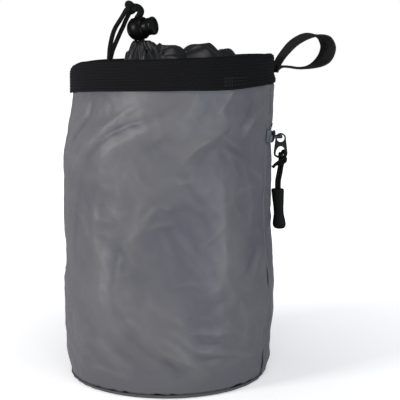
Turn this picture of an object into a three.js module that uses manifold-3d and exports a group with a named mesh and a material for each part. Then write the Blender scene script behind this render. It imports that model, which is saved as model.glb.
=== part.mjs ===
// Climbing chalk bag: a round cloth bag with a sewn base, a zipped pocket round its back, a ribbed
// webbing binding on its rim, a gathered closing collar with a cord lock, and a webbing carry loop.
// Millimetres, +Z up. The origin is the middle of the base, on the surface that the bag stands on.
// -Y is the front, +X is the side with the zip pull and the carry loop. A turn is an angle about +Z
// from +X towards +Y, in degrees. A depth is measured outwards from the outer face of the cloth wall.

import * as THREE from 'three';
import * as BufferGeometryUtils from 'three/addons/utils/BufferGeometryUtils.js';
import Module from 'manifold-3d';

// Body
const bodyHeight = 196;
const bodyRadius = 63.5;
const clothWall = 1.2;
const layerGap = 0.35;
const rimRise = 2.2;
const rimSlump = 2.4;
const wallSides = 44;
const wallRows = 13;

// Base panel: a flat disc turned up to the seam at its edge
const baseSeamHeight = 4;
const baseFlatRadius = 58.5;
const baseWall = 1.3;

// Folds in the cloth
const foldDepth = 2.6;
const foldReach = 50;
const foldSpread = 12;

// Rim binding: one ribbed webbing folded over the edge
const bandHeight = 17.5;
const bandInnerHeight = 14;
const bandWall = 1.5;
const ribCount = 9;
const ribDepth = 0.3;

// Back pocket and its zip
const pocketStart = -19;
const pocketEnd = 172;
const zipHeight = 146.2;
const zipOpening = 8;
const tapeWall = 0.5;
const coilWidth = 3;
const coilWall = 0.9;
const sliderTurn = 0;
const sliderLength = 9.6;
const sliderWidth = 7.8;
const sliderWall = 1.4;
const sliderLift = 1.4;
const sliderTilt = 12;
const bailReach = 4.6;
const bailThickness = 1.8;
const bailSpan = 4.6;

// Zip pull
const tabRadius = 3.3;
const tabHoleRadius = 2.3;
const tabLength = 15.4;
const tabWidth = 8.6;
const tabWall = 1.6;
const pullCordDiameter = 2.4;
const gripLength = 25;
const gripWidth = 7.5;
const gripFlatness = 0.72;
const gripDrop = 32;
const gripLean = 1.4;

// Drawcord and its lock
const cordDiameter = 2.7;
const strandGap = 0.16;
const boreEase = 0.47;
const lockPlace = new THREE.Vector3(-16, -18, 212.9);
const lockRadius = 7.3;
const lockLean = -10.5;
const lockTurn = -25;
const lockLipAt = 4.2;
const buttonRadius = 4.85;
const buttonReach = 10.5;
const buttonTine = 2;
const buttonTravel = 2;
const knotLength = 11.6;
const knotHeight = 6;
const knotDepth = 7;
const knotLean = 28;

// Collar: a thin cloth gathered from the rim to a neck under the lock
const collarWall = 1;
const collarSides = 40;
const collarRows = 10;
const collarHem = 13;
const collarSink = 10.5;
const collarRise = 18.5;
const bellReach = 7.5;
const pleatCount = 10;
const pleatDepth = 0.7;

// Carry loop
const loopWidth = 15;
const loopWall = 1.3;
const loopTurn = 11;
const loopReach = 35.2;
const loopTall = 25.6;
const loopRoot = 15;
const loopFarWidth = new THREE.Vector3(0.49, -0.87, -0.1);

const degree = Math.PI / 180;
const bandDepth = layerGap + bandWall;
const rimWallTop = bodyHeight - bandWall - layerGap;
const coilDepth = 2 * layerGap + tapeWall;
const neckBore = cordDiameter + strandGap / 2 + boreEase;

const finishes = {
  cloth: new THREE.MeshStandardMaterial({ color: 0x6b6b72, roughness: 0.55, metalness: 0 }),
  lining: new THREE.MeshStandardMaterial({ color: 0x35343a, roughness: 0.6, metalness: 0 }),
  webbing: new THREE.MeshStandardMaterial({ color: 0x1d1d1f, roughness: 0.85, metalness: 0 }),
  plastic: new THREE.MeshStandardMaterial({ color: 0x2a2a2c, roughness: 0.5, metalness: 0 }),
  rubber: new THREE.MeshStandardMaterial({ color: 0x19191a, roughness: 0.7, metalness: 0 }),
  metal: new THREE.MeshStandardMaterial({ color: 0x222224, roughness: 0.35, metalness: 0.8 }),
  tape: new THREE.MeshStandardMaterial({ color: 0x65707a, roughness: 0.8, metalness: 0 }),
  cord: new THREE.MeshStandardMaterial({ color: 0x151515, roughness: 0.9, metalness: 0 }),
};

// Level sections of the cloth wall from the base seam to the rim.
// up: share of bodyHeight; round, shift: radius and sideways place, shares of bodyRadius.
const wallSections = [
  { up: 0.022, round: 0.959, shift: -0.005 },
  { up: 0.061, round: 0.981, shift: -0.011 },
  { up: 0.112, round: 0.992, shift: -0.006 },
  { up: 0.179, round: 1.009, shift: -0.005 },
  { up: 0.265, round: 1.016, shift: -0.005 },
  { up: 0.388, round: 1.002, shift: -0.002 },
  { up: 0.526, round: 0.991, shift: -0.015 },
  { up: 0.638, round: 0.991, shift: -0.009 },
  { up: 0.755, round: 0.983, shift: 0.0 },
  { up: 0.801, round: 0.975, shift: 0.02 },
  { up: 0.878, round: 0.953, shift: 0.04 },
  { up: 1.0, round: 0.947, shift: 0.047 },
];

// Main folds: a ridge where stand is positive, a dent where it is negative.
// turn: degrees; up: share of bodyHeight; lean: degrees from upright, towards a growing turn;
// reach: share of foldReach; spread: share of foldSpread; stand: share of foldDepth.
const wallFolds = [
  { turn: -141, up: 0.73, lean: 50, reach: 0.55, spread: 0.75, stand: 0.8 },
  { turn: -118, up: 0.81, lean: 60, reach: 0.6, spread: 0.8, stand: 0.7 },
  { turn: -131, up: 0.81, lean: 52, reach: 0.5, spread: 0.7, stand: -0.6 },
  { turn: -124, up: 0.69, lean: 45, reach: 0.6, spread: 0.8, stand: 0.6 },
  { turn: -100, up: 0.79, lean: 68, reach: 0.5, spread: 0.8, stand: 0.5 },
  { turn: -68, up: 0.76, lean: 59, reach: 0.42, spread: 0.7, stand: 0.7 },
  { turn: -52, up: 0.74, lean: -66, reach: 0.3, spread: 0.6, stand: -0.6 },
  { turn: -37, up: 0.83, lean: 45, reach: 0.4, spread: 0.65, stand: 0.7 },
  { turn: -29, up: 0.38, lean: 54, reach: 0.3, spread: 0.6, stand: 0.5 },
  { turn: -118, up: 0.4, lean: 10, reach: 0.9, spread: 1.1, stand: 0.6 },
  { turn: -104, up: 0.24, lean: -58, reach: 0.55, spread: 0.8, stand: 0.7 },
  { turn: -84, up: 0.15, lean: -56, reach: 0.5, spread: 0.75, stand: 0.6 },
  { turn: -92, up: 0.21, lean: -58, reach: 0.6, spread: 0.8, stand: -0.6 },
  { turn: -143, up: 0.18, lean: -20, reach: 0.5, spread: 0.7, stand: 0.6 },
  { turn: -82, up: 0.45, lean: 5, reach: 1.2, spread: 1.6, stand: -0.5 },
  { turn: 35, up: 0.35, lean: 25, reach: 0.8, spread: 1.0, stand: -0.6 },
  { turn: 78, up: 0.55, lean: -30, reach: 0.7, spread: 0.9, stand: 0.6 },
  { turn: 120, up: 0.3, lean: 40, reach: 0.8, spread: 0.9, stand: 0.6 },
  { turn: 150, up: 0.62, lean: -45, reach: 0.6, spread: 0.8, stand: -0.6 },
];

// Crumples of the gathered collar.
// x, y: place, and reach, spread: half sizes, shares of bodyRadius; lean: degrees from +X
// towards +Y; stand: share of collarRise.
const collarCrumples = [
  { x: 0.02, y: -0.17, reach: 0.26, spread: 0.17, lean: 8, stand: 0.92 },
  { x: 0.31, y: -0.08, reach: 0.27, spread: 0.2, lean: 6, stand: 1.0 },
  { x: 0.57, y: 0.0, reach: 0.17, spread: 0.16, lean: 25, stand: 0.84 },
  { x: 0.12, y: 0.36, reach: 0.36, spread: 0.15, lean: 70, stand: 0.62 },
  { x: -0.45, y: 0.14, reach: 0.3, spread: 0.14, lean: 150, stand: 0.4 },
  { x: 0.42, y: -0.45, reach: 0.24, spread: 0.13, lean: -40, stand: 0.35 },
  { x: -0.25, y: 0.48, reach: 0.28, spread: 0.13, lean: 115, stand: 0.4 },
];

// The free bight of the drawcord: from the knot, down behind the front of the rim, round and back.
const cordLoopRoute = [
  [-23.1, -20.1, 224.2],
  [-26.3, -22.0, 218.6],
  [-29.1, -24.3, 214.0],
  [-30.6, -28.0, 210.0],
  [-31.4, -31.8, 205.8],
  [-32.0, -35.0, 201.3],
  [-32.2, -37.0, 196.8],
  [-32.4, -37.6, 193.0],
  [-32.8, -35.9, 189.7],
  [-33.0, -32.6, 188.4],
  [-33.0, -29.4, 189.9],
  [-32.5, -28.0, 193.2],
  [-31.9, -27.3, 197.0],
  [-30.7, -26.2, 201.2],
  [-28.8, -24.4, 205.8],
  [-26.9, -22.2, 210.4],
  [-25.1, -20.0, 214.4],
  [-23.7, -18.3, 217.9],
  [-21.6, -17.1, 222.1],
];

// The short cord of the zip pull, from the swing axis: x outwards, y along the bail, z up.
const pullCordRoute = [
  [-1.2, 0.1, -31.9],
  [-1.3, 0.0, -27.8],
  [-1.2, -0.6, -23.2],
  [-0.4, -2.1, -18.5],
  [0.9, -2.6, -14.5],
  [1.2, -2.2, -11.2],
  [0.7, 0.0, -9.0],
  [0.2, 2.2, -11.2],
  [-0.7, 2.6, -14.5],
  [-2.2, 2.6, -18.0],
  [-3.6, 2.5, -20.4],
];

// Middle line of the carry loop outside the binding, in the upright plane of its root.
// layer: webbings already lying on the binding; out: share of loopReach, outwards from there;
// up: share of loopTall, from the foot of the sewn ends.
const carryLoopRoute = [
  { layer: 0, out: 0.0, up: 0.0 },
  { layer: 0, out: 0.003, up: 0.137 },
  { layer: 0, out: 0.026, up: 0.258 },
  { layer: 0, out: 0.085, up: 0.402 },
  { layer: 0, out: 0.165, up: 0.563 },
  { layer: 0, out: 0.327, up: 0.805 },
  { layer: 0, out: 0.503, up: 0.945 },
  { layer: 0, out: 0.67, up: 1.0 },
  { layer: 0, out: 0.83, up: 0.992 },
  { layer: 0, out: 0.935, up: 0.906 },
  { layer: 0, out: 1.0, up: 0.703 },
  { layer: 1, out: 0.905, up: 0.469 },
  { layer: 1, out: 0.788, up: 0.324 },
  { layer: 1, out: 0.624, up: 0.246 },
  { layer: 1, out: 0.428, up: 0.238 },
  { layer: 1, out: 0.226, up: 0.25 },
  { layer: 1, out: 0.095, up: 0.227 },
  { layer: 1, out: 0.027, up: 0.141 },
  { layer: 1, out: 0.002, up: 0.07 },
  { layer: 1, out: 0.0, up: 0.0 },
];

// The smooth line through one column of a table of sections.
function columnOf(table, column, length) {
  return new THREE.CubicInterpolant(
    table.map((row) => row.up * bodyHeight),
    table.map((row) => row[column] * length),
    1,
  );
}

const wallRadius = columnOf(wallSections, 'round', bodyRadius);
const wallShift = columnOf(wallSections, 'shift', bodyRadius);

function smoothStep(low, high, value) {
  return THREE.MathUtils.smoothstep(value, low, high);
}

function turnBetween(from, to) {
  return THREE.MathUtils.euclideanModulo(to - from + 180, 360) - 180;
}

// How far the folds lift the cloth at a place on the wall.
function foldLift(turn, height) {
  const seamFade = smoothStep(baseSeamHeight, baseSeamHeight + bodyHeight * 0.06, height);
  const rimFade = 1 - smoothStep(bodyHeight * 0.8, bodyHeight - bandHeight, height);
  let lift = 0;
  for (const fold of wallFolds) {
    const aside = turnBetween(fold.turn, turn) * degree * bodyRadius;
    const above = height - fold.up * bodyHeight;
    const lean = fold.lean * degree;
    const along = aside * Math.sin(lean) + above * Math.cos(lean);
    const across = aside * Math.cos(lean) - above * Math.sin(lean);
    const fall = (along / (fold.reach * foldReach)) ** 2 + (across / (fold.spread * foldSpread)) ** 2;
    lift += fold.stand * foldDepth * Math.exp(-fall);
  }
  return lift * seamFade * rimFade;
}

// A place on the cloth wall, or at a depth outside it.
function onWall(turn, height, depth) {
  const side = Math.cos(turn * degree);
  const upBand = Math.max(0, (height - bodyHeight) / bandHeight + 1);
  const slump = rimSlump * Math.max(0, -side) ** 3 * upBand;
  const radius = wallRadius.evaluate(height)[0] + foldLift(turn, height) + depth - slump;
  const rise = rimRise * side * smoothStep(bodyHeight * 0.55, bodyHeight * 0.9, height);
  return new THREE.Vector3(
    wallShift.evaluate(height)[0] + radius * side,
    radius * Math.sin(turn * degree),
    height + rise,
  );
}

// The turns, or heights, at which the cloth wall has its corners, between two others.
function sharedSteps(low, high, step, first) {
  const steps = [low];
  for (let at = first + Math.ceil((low - first) / step) * step; at < high; at += step) {
    if (at > low + step / 4 && at < high - step / 4) {
      steps.push(at);
    }
  }
  steps.push(high);
  return steps;
}

const wallLow = baseSeamHeight + layerGap;
const rowStep = (rimWallTop - wallLow) / wallRows;

function wallTurns(low, high) {
  return sharedSteps(low, high, 360 / wallSides, 0);
}

function wallHeights(low, high) {
  return sharedSteps(low, high, rowStep, wallLow);
}

// Moves every corner of a geometry, leaves out what only shading needs and joins equal corners.
function reshaped(geometry, move) {
  geometry.deleteAttribute('normal');
  geometry.deleteAttribute('uv');
  const position = geometry.attributes.position;
  const corner = new THREE.Vector3();
  for (let i = 0; i < position.count; i += 1) {
    corner.fromBufferAttribute(position, i);
    const moved = move(corner, i);
    position.setXYZ(i, moved.x, moved.y, moved.z);
  }
  return BufferGeometryUtils.mergeVertices(geometry, 1e-4);
}

// A closed ring round +Z: place(turn, row) gives the corner of each row at each turn. The rows run
// round the ring's section, up its outer side and down its inner side.
function ringGeometry(sides, rows, place) {
  const section = [];
  for (let row = 0; row <= rows; row += 1) {
    const angle = (row % rows) / rows * 2 * Math.PI;
    section.push(new THREE.Vector2(3 + Math.cos(angle), Math.sin(angle)));
  }
  const lathe = new THREE.LatheGeometry(section, sides);
  return reshaped(lathe, (corner, i) => {
    const column = Math.floor(i / (rows + 1)) % sides;
    const row = i % (rows + 1) % rows;
    return place(column * 360 / sides, row);
  });
}

// A strip of cloth on the wall, between two depths.
function wallPanel(turns, heights, innerDepth, outerDepth) {
  const columns = turns.length - 1;
  const rows = heights.length - 1;
  const box = new THREE.BoxGeometry(columns, rows, 1, columns, rows, 1);
  return reshaped(box, (corner) => {
    const turn = turns[Math.round(corner.x + columns / 2)];
    const height = heights[Math.round(corner.y + rows / 2)];
    return onWall(turn, height, corner.z > 0 ? outerDepth : innerDepth);
  });
}

function tubeGeometry(points, radius, sides, steps) {
  const section = new THREE.Shape();
  for (let i = 0; i < sides; i += 1) {
    const angle = i / sides * 2 * Math.PI;
    const place = [radius * Math.cos(angle), radius * Math.sin(angle)];
    if (i === 0) {
      section.moveTo(...place);
    } else {
      section.lineTo(...place);
    }
  }
  const route = new THREE.CatmullRomCurve3(points.map((point) => new THREE.Vector3(...point)));
  return new THREE.ExtrudeGeometry(section, { steps, extrudePath: route, bevelEnabled: false });
}

const wasm = await Module();
wasm.setup();

// A closed geometry as a solid that can be cut and joined.
function solidOf(geometry) {
  const plain = geometry.clone();
  plain.deleteAttribute('normal');
  plain.deleteAttribute('uv');
  const merged = BufferGeometryUtils.mergeVertices(plain, 1e-4);
  const mesh = new wasm.Mesh({
    numProp: 3,
    vertProperties: new Float32Array(merged.attributes.position.array),
    triVerts: new Uint32Array(merged.index.array),
  });
  return new wasm.Manifold(mesh);
}

function geometryOf(solid) {
  const mesh = solid.getMesh();
  const geometry = new THREE.BufferGeometry();
  geometry.setAttribute('position', new THREE.BufferAttribute(mesh.vertProperties, 3));
  geometry.setIndex(new THREE.BufferAttribute(mesh.triVerts, 1));
  return geometry;
}

// A rod along +X between two places.
function rodGeometry(radius, from, to, sides) {
  const rod = new THREE.CylinderGeometry(radius, radius, to - from, sides);
  rod.rotateZ(-Math.PI / 2);
  rod.translate((from + to) / 2, 0, 0);
  return rod;
}

function piece(name, geometry, material) {
  const mesh = new THREE.Mesh(geometry, material);
  mesh.name = name;
  return mesh;
}

function sideWall() {
  const heights = wallHeights(wallLow, rimWallTop);
  const last = heights.length - 1;
  const geometry = ringGeometry(wallSides, 2 * heights.length, (turn, row) => {
    const outer = row <= last;
    const height = heights[outer ? row : 2 * last + 1 - row];
    return onWall(turn, height, outer ? 0 : -clothWall);
  });
  return piece('side_wall', geometry, finishes.cloth);
}

function basePanel() {
  const seamRadius = wallRadius.evaluate(wallLow)[0];
  const section = [
    [0, 0],
    [baseFlatRadius, 0],
    [seamRadius - clothWall * 0.45, baseSeamHeight * 0.35],
    [seamRadius, baseSeamHeight],
    [seamRadius - clothWall, baseSeamHeight],
    [baseFlatRadius - baseWall * 0.4, baseWall],
    [0, baseWall],
  ].map((place) => new THREE.Vector2(...place));
  const geometry = new THREE.LatheGeometry(section, wallSides);
  geometry.rotateX(Math.PI / 2);
  const shift = wallShift.evaluate(wallLow)[0];
  const seated = reshaped(geometry, (corner) => {
    const share = THREE.MathUtils.clamp(corner.z / baseSeamHeight, 0, 1);
    return new THREE.Vector3(corner.x + shift * share, corner.y, corner.z);
  });
  return piece('base_panel', seated, finishes.cloth);
}

// The binding's section, from its outer lower edge over the rim and down inside, then back up the
// slot that holds the cloth.
function bandSection() {
  const rows = [];
  const pitch = (bandHeight - bandDepth) / ribCount;
  for (let rib = 0; rib < ribCount; rib += 1) {
    rows.push({ depth: bandDepth - ribDepth, down: bandHeight - rib * pitch });
    rows.push({ depth: bandDepth, down: bandHeight - (rib + 0.5) * pitch });
  }
  const innerFace = -clothWall - layerGap - bandWall;
  rows.push({ depth: bandDepth - ribDepth, down: bandDepth });
  rows.push({ depth: bandDepth * 0.55, down: 0.4 });
  rows.push({ depth: (bandDepth + innerFace) / 2, down: 0 });
  rows.push({ depth: innerFace * 0.8, down: 0.4 });
  rows.push({ depth: innerFace, down: bandDepth });
  rows.push({ depth: innerFace, down: bandInnerHeight });
  rows.push({ depth: innerFace + bandWall, down: bandInnerHeight });
  rows.push({ depth: innerFace + bandWall, down: bandWall });
  rows.push({ depth: layerGap, down: bandWall });
  rows.push({ depth: layerGap, down: bandHeight });
  return rows;
}

function rimBand() {
  const rows = bandSection();
  const geometry = ringGeometry(wallSides, rows.length, (turn, row) =>
    onWall(turn, bodyHeight - rows[row].down, rows[row].depth));
  return piece('rim_band', geometry, finishes.webbing);
}

function pocketPanel() {
  const turns = wallTurns(pocketStart, pocketEnd);
  const heights = wallHeights(wallLow, zipHeight - zipOpening / 2);
  const geometry = wallPanel(turns, heights, layerGap, layerGap + clothWall);
  return piece('pocket_panel', geometry, finishes.cloth);
}

function pocketTop() {
  const turns = wallTurns(pocketStart, pocketEnd);
  const heights = wallHeights(zipHeight + zipOpening / 2, bodyHeight - bandHeight - layerGap);
  const geometry = wallPanel(turns, heights, layerGap, layerGap + clothWall);
  return piece('pocket_top', geometry, finishes.cloth);
}

function zipTape() {
  const edge = zipOpening / 2 - layerGap;
  const turns = wallTurns(pocketStart, pocketEnd);
  const geometry = wallPanel(turns, [zipHeight - edge, zipHeight + edge], layerGap, layerGap + tapeWall);
  return piece('zip_tape', geometry, finishes.tape);
}

function zipCoil() {
  const sliderHalfTurn = (sliderLength / 2 + layerGap) / bodyRadius / degree;
  const turns = wallTurns(sliderTurn + sliderHalfTurn, pocketEnd - 1);
  const heights = [zipHeight - coilWidth / 2, zipHeight + coilWidth / 2];
  const geometry = wallPanel(turns, heights, coilDepth, coilDepth + coilWall);
  return piece('zip_coil', geometry, finishes.tape);
}

// The slider's plate and the bail on it, in one solid: x outwards, y along the zip, z up.
function zipSlider() {
  const plate = new THREE.Shape();
  const halfLength = sliderLength / 2;
  const halfWidth = sliderWidth / 2;
  plate.moveTo(-halfLength, -halfWidth * 0.55);
  plate.lineTo(-halfLength * 0.3, -halfWidth * 0.8);
  plate.lineTo(halfLength * 0.55, -halfWidth);
  plate.lineTo(halfLength, -halfWidth * 0.7);
  plate.lineTo(halfLength, halfWidth * 0.7);
  plate.lineTo(halfLength * 0.55, halfWidth);
  plate.lineTo(-halfLength * 0.3, halfWidth * 0.8);
  plate.lineTo(-halfLength, halfWidth * 0.55);
  const plateGeometry = new THREE.ExtrudeGeometry(plate, { depth: sliderWall, bevelEnabled: false });
  plateGeometry.applyMatrix4(new THREE.Matrix4().makeBasis(
    new THREE.Vector3(0, 1, 0),
    new THREE.Vector3(0, 0, 1),
    new THREE.Vector3(1, 0, 0),
  ));
  plateGeometry.translate(-sliderWall / 2, 0, 0);
  plateGeometry.rotateY(sliderTilt * degree);

  const bail = new THREE.Shape();
  const outerHalf = bailSpan / 2 + bailThickness * 0.8;
  const top = bailReach + bailThickness / 2;
  const bend = bailThickness * 0.5;
  bail.moveTo(0, -outerHalf);
  bail.lineTo(top - bend, -outerHalf);
  bail.lineTo(top, -outerHalf + bend);
  bail.lineTo(top, outerHalf - bend);
  bail.lineTo(top - bend, outerHalf);
  bail.lineTo(0, outerHalf);
  bail.lineTo(0, bailSpan / 2);
  bail.lineTo(bailReach - bailThickness / 2, bailSpan / 2);
  bail.lineTo(bailReach - bailThickness / 2, -bailSpan / 2);
  bail.lineTo(0, -bailSpan / 2);
  const bailGeometry = new THREE.ExtrudeGeometry(bail, { depth: bailThickness, bevelEnabled: false });
  bailGeometry.translate(0, 0, -bailThickness / 2);
  const solid = solidOf(plateGeometry).add(solidOf(bailGeometry));
  return piece('zip_slider', geometryOf(solid), finishes.metal);
}

// The metal tab, flat across the bail: a ring that hangs on the bail and a slot for the cord.
function pullTab() {
  const outline = new THREE.Shape();
  const half = tabWidth / 2;
  const foot = tabRadius - tabLength;
  const corner = tabWidth * 0.28;
  outline.absarc(0, 0, tabRadius, -8 * degree, 188 * degree, false);
  outline.lineTo(-half, foot + corner * 1.3);
  outline.lineTo(-half * 0.93, foot + corner * 0.55);
  outline.lineTo(-half + corner, foot);
  outline.lineTo(half - corner, foot);
  outline.lineTo(half * 0.93, foot + corner * 0.55);
  outline.lineTo(half, foot + corner * 1.3);
  const ringHole = new THREE.Path();
  ringHole.absarc(0, 0, tabHoleRadius, 0, 2 * Math.PI, true);
  const slotHalf = half - tabWidth * 0.15;
  const slotFoot = foot + tabWidth * 0.26;
  const slotRise = (-tabHoleRadius - tabWidth * 0.3 - slotFoot) / slotHalf;
  const slot = new THREE.Path();
  slot.absellipse(0, slotFoot, slotHalf, slotHalf * slotRise, Math.PI, 0, true);
  slot.lineTo(slotHalf * 0.7, slotFoot - tabWidth * 0.09);
  slot.lineTo(-slotHalf * 0.7, slotFoot - tabWidth * 0.09);
  outline.holes.push(ringHole, slot);
  const geometry = new THREE.ExtrudeGeometry(outline, {
    depth: tabWall,
    bevelEnabled: false,
    curveSegments: 14,
  });
  geometry.translate(0, 0, -tabWall / 2);
  geometry.rotateX(Math.PI / 2);
  const hang = tabHoleRadius - bailThickness / 2 - layerGap;
  geometry.translate(0, 0, -hang);
  return piece('pull_tab', geometry, finishes.metal);
}

function pullCord() {
  const geometry = tubeGeometry(pullCordRoute, pullCordDiameter / 2, 8, 18);
  return piece('pull_cord', geometry, finishes.cord);
}

// The moulded grip, waisted, below the short cord.
function pullGrip() {
  const widths = [
    { down: 0, width: 0.78 },
    { down: 0.1, width: 0.97 },
    { down: 0.35, width: 0.9 },
    { down: 0.65, width: 0.78 },
    { down: 0.88, width: 1.0 },
    { down: 0.97, width: 0.9 },
    { down: 1, width: 0.7 },
  ];
  const section = [new THREE.Vector2(0, 0)];
  for (const row of widths) {
    section.push(new THREE.Vector2(row.width * gripWidth / 2, -row.down * gripLength));
  }
  section.push(new THREE.Vector2(0, -gripLength));
  const geometry = new THREE.LatheGeometry(section.reverse(), 12);
  geometry.rotateX(Math.PI / 2);
  geometry.scale(1, gripFlatness, 1);
  geometry.rotateY(-2.5 * degree);
  geometry.translate(-gripLean, 0, -gripDrop - layerGap);
  return piece('pull_grip', reshaped(geometry, (corner) => corner), finishes.rubber);
}

// The lock's barrel: a ball with a bore for two strands along +Z, open to +X for the button.
function lockBarrel() {
  const ball = solidOf(new THREE.SphereGeometry(lockRadius, 18, 12).rotateX(Math.PI / 2));
  const recessRadius = buttonRadius + layerGap;
  const recessFrom = -buttonTine - buttonTravel - layerGap;
  const recess = solidOf(rodGeometry(recessRadius, recessFrom, lockRadius * 2, 20));
  const beyondLip = solidOf(rodGeometry(lockRadius * 1.5, lockLipAt, lockRadius * 2, 8));
  const boreGeometry = new THREE.CylinderGeometry(neckBore, neckBore, lockRadius * 3, 12);
  boreGeometry.rotateX(Math.PI / 2);
  const solid = ball.subtract(recess).subtract(beyondLip).subtract(solidOf(boreGeometry));
  return piece('cord_lock_barrel', geometryOf(solid), finishes.plastic);
}

// The button: a round cap with two tines that pass the cord on both sides.
function lockButton() {
  const cap = solidOf(rodGeometry(buttonRadius, -buttonTine, buttonReach, 20));
  const strandsHalf = cordDiameter + layerGap * 1.3;
  const slotEnd = cordDiameter / 2 + layerGap + buttonTravel;
  const slotLength = slotEnd + buttonTine * 2;
  const slot = new THREE.BoxGeometry(slotLength, strandsHalf * 2, buttonRadius * 3);
  slot.translate(slotEnd - slotLength / 2, 0, 0);
  return piece('cord_lock_button', geometryOf(cap.subtract(solidOf(slot))), finishes.plastic);
}

// One of the two strands of the drawcord, from inside the collar's neck through the lock.
function drawcordStrand(name, side) {
  const aside = side * (cordDiameter + strandGap) / 2;
  const low = -lockRadius - collarWall * 4.5;
  const high = lockRadius - layerGap * 2.5;
  const points = [0, 0.33, 0.67, 1].map((share) => [0, aside, low + (high - low) * share]);
  return piece(name, tubeGeometry(points, cordDiameter / 2, 8, 6), finishes.cord);
}

// The overhand knot above the lock: two lumps side by side.
function cordKnot() {
  const ball = new THREE.SphereGeometry(1, 14, 8);
  const geometry = reshaped(ball, (corner) => {
    const waist = 1 - 0.16 * Math.exp(-((corner.x / 0.28) ** 2));
    return new THREE.Vector3(
      corner.x * knotLength / 2,
      corner.y * waist * knotHeight / 2,
      corner.z * waist * knotDepth / 2,
    );
  });
  geometry.rotateX(Math.PI / 2);
  return piece('cord_knot', geometry, finishes.cord);
}

function cordLoop() {
  return piece('cord_loop', tubeGeometry(cordLoopRoute, cordDiameter / 2, 8, 30), finishes.cord);
}

// The lock stands with its bore towards the collar's neck and its button aside and forwards.
const boreAxis = new THREE.Vector3(Math.sin(lockLean * degree), 0, Math.cos(lockLean * degree));
const buttonAxis = new THREE.Vector3(Math.cos(lockTurn * degree), Math.sin(lockTurn * degree), 0)
  .projectOnPlane(boreAxis)
  .normalize();
const strandAxis = new THREE.Vector3().crossVectors(boreAxis, buttonAxis);
const neckPlace = lockPlace.clone().addScaledVector(boreAxis, -(lockRadius + layerGap));
const lockFrame = new THREE.Matrix4()
  .makeBasis(buttonAxis, strandAxis, boreAxis)
  .setPosition(lockPlace);

// The collar's outer face. along: 0 at the hem inside the binding, 1 at the top of the neck.
const hemDepth = -clothWall - bandWall - 2 * layerGap;
const collarFloor = bodyHeight - collarSink;
const neckRadius = neckBore + collarWall;

function crumpleLift(x, y) {
  let lift = 0;
  for (const row of collarCrumples) {
    const lean = row.lean * degree;
    const aside = x - row.x * bodyRadius;
    const back = y - row.y * bodyRadius;
    const along = aside * Math.cos(lean) + back * Math.sin(lean);
    const across = back * Math.cos(lean) - aside * Math.sin(lean);
    const fall = (along / (row.reach * bodyRadius)) ** 2 + (across / (row.spread * bodyRadius)) ** 2;
    lift = Math.max(lift, row.stand * collarRise * Math.exp(-(fall ** 1.5)));
  }
  return lift;
}

function onCollar(turn, along) {
  const turnUp = 0.1;
  const sink = THREE.MathUtils.lerp(collarHem, collarSink, Math.min(along / turnUp, 1));
  const edge = onWall(turn, bodyHeight - sink, hemDepth);
  if (along < turnUp) {
    return edge;
  }
  const inward = (along - turnUp) / (1 - turnUp);
  const neck = new THREE.Vector3(
    neckPlace.x + neckRadius * Math.cos(turn * degree),
    neckPlace.y + neckRadius * Math.sin(turn * degree),
    0,
  );
  const x = THREE.MathUtils.lerp(edge.x, neck.x, inward);
  const y = THREE.MathUtils.lerp(edge.y, neck.y, inward);
  const fromNeck = Math.max(0, Math.hypot(x - neckPlace.x, y - neckPlace.y) - neckRadius);
  const bell = Math.exp(-((fromNeck / bellReach) ** 3));
  const rimEase = smoothStep(0, 0.25, inward);
  const neckEase = smoothStep(0, 0.12, 1 - inward);
  const rise = rimRise * Math.cos(turn * degree) * (1 - inward);
  const pleatEase = smoothStep(0.5, 0.85, inward) * neckEase;
  const pleat = pleatDepth * Math.sin(pleatCount * turn * degree) * pleatEase;
  const lift = crumpleLift(x, y) * rimEase * (1 - bell);
  const height = collarFloor + rise + lift + (neckPlace.z - collarFloor) * bell + pleat;
  return new THREE.Vector3(x, y, height);
}

// The collar's face moved in by its wall, square to the cloth.
function underCollar(turn, along) {
  const small = 0.01;
  const low = Math.max(0, along - small);
  const high = Math.min(1, along + small);
  const round = onCollar(turn + 1, along).sub(onCollar(turn - 1, along));
  const inward = onCollar(turn, high).sub(onCollar(turn, low));
  const out = new THREE.Vector3().crossVectors(round, inward).normalize();
  return onCollar(turn, along).addScaledVector(out, -collarWall);
}

function collar() {
  const places = [0, 0.1];
  for (let row = 1; row <= collarRows; row += 1) {
    places.push(0.1 + 0.9 * (1 - (1 - row / collarRows) ** 1.35));
  }
  const last = places.length - 1;
  const geometry = ringGeometry(collarSides, 2 * places.length, (turn, row) => {
    const outer = row <= last;
    const along = places[outer ? row : 2 * last + 1 - row];
    return outer ? onCollar(turn, along) : underCollar(turn, along);
  });
  return piece('collar', geometry, finishes.lining);
}

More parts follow.
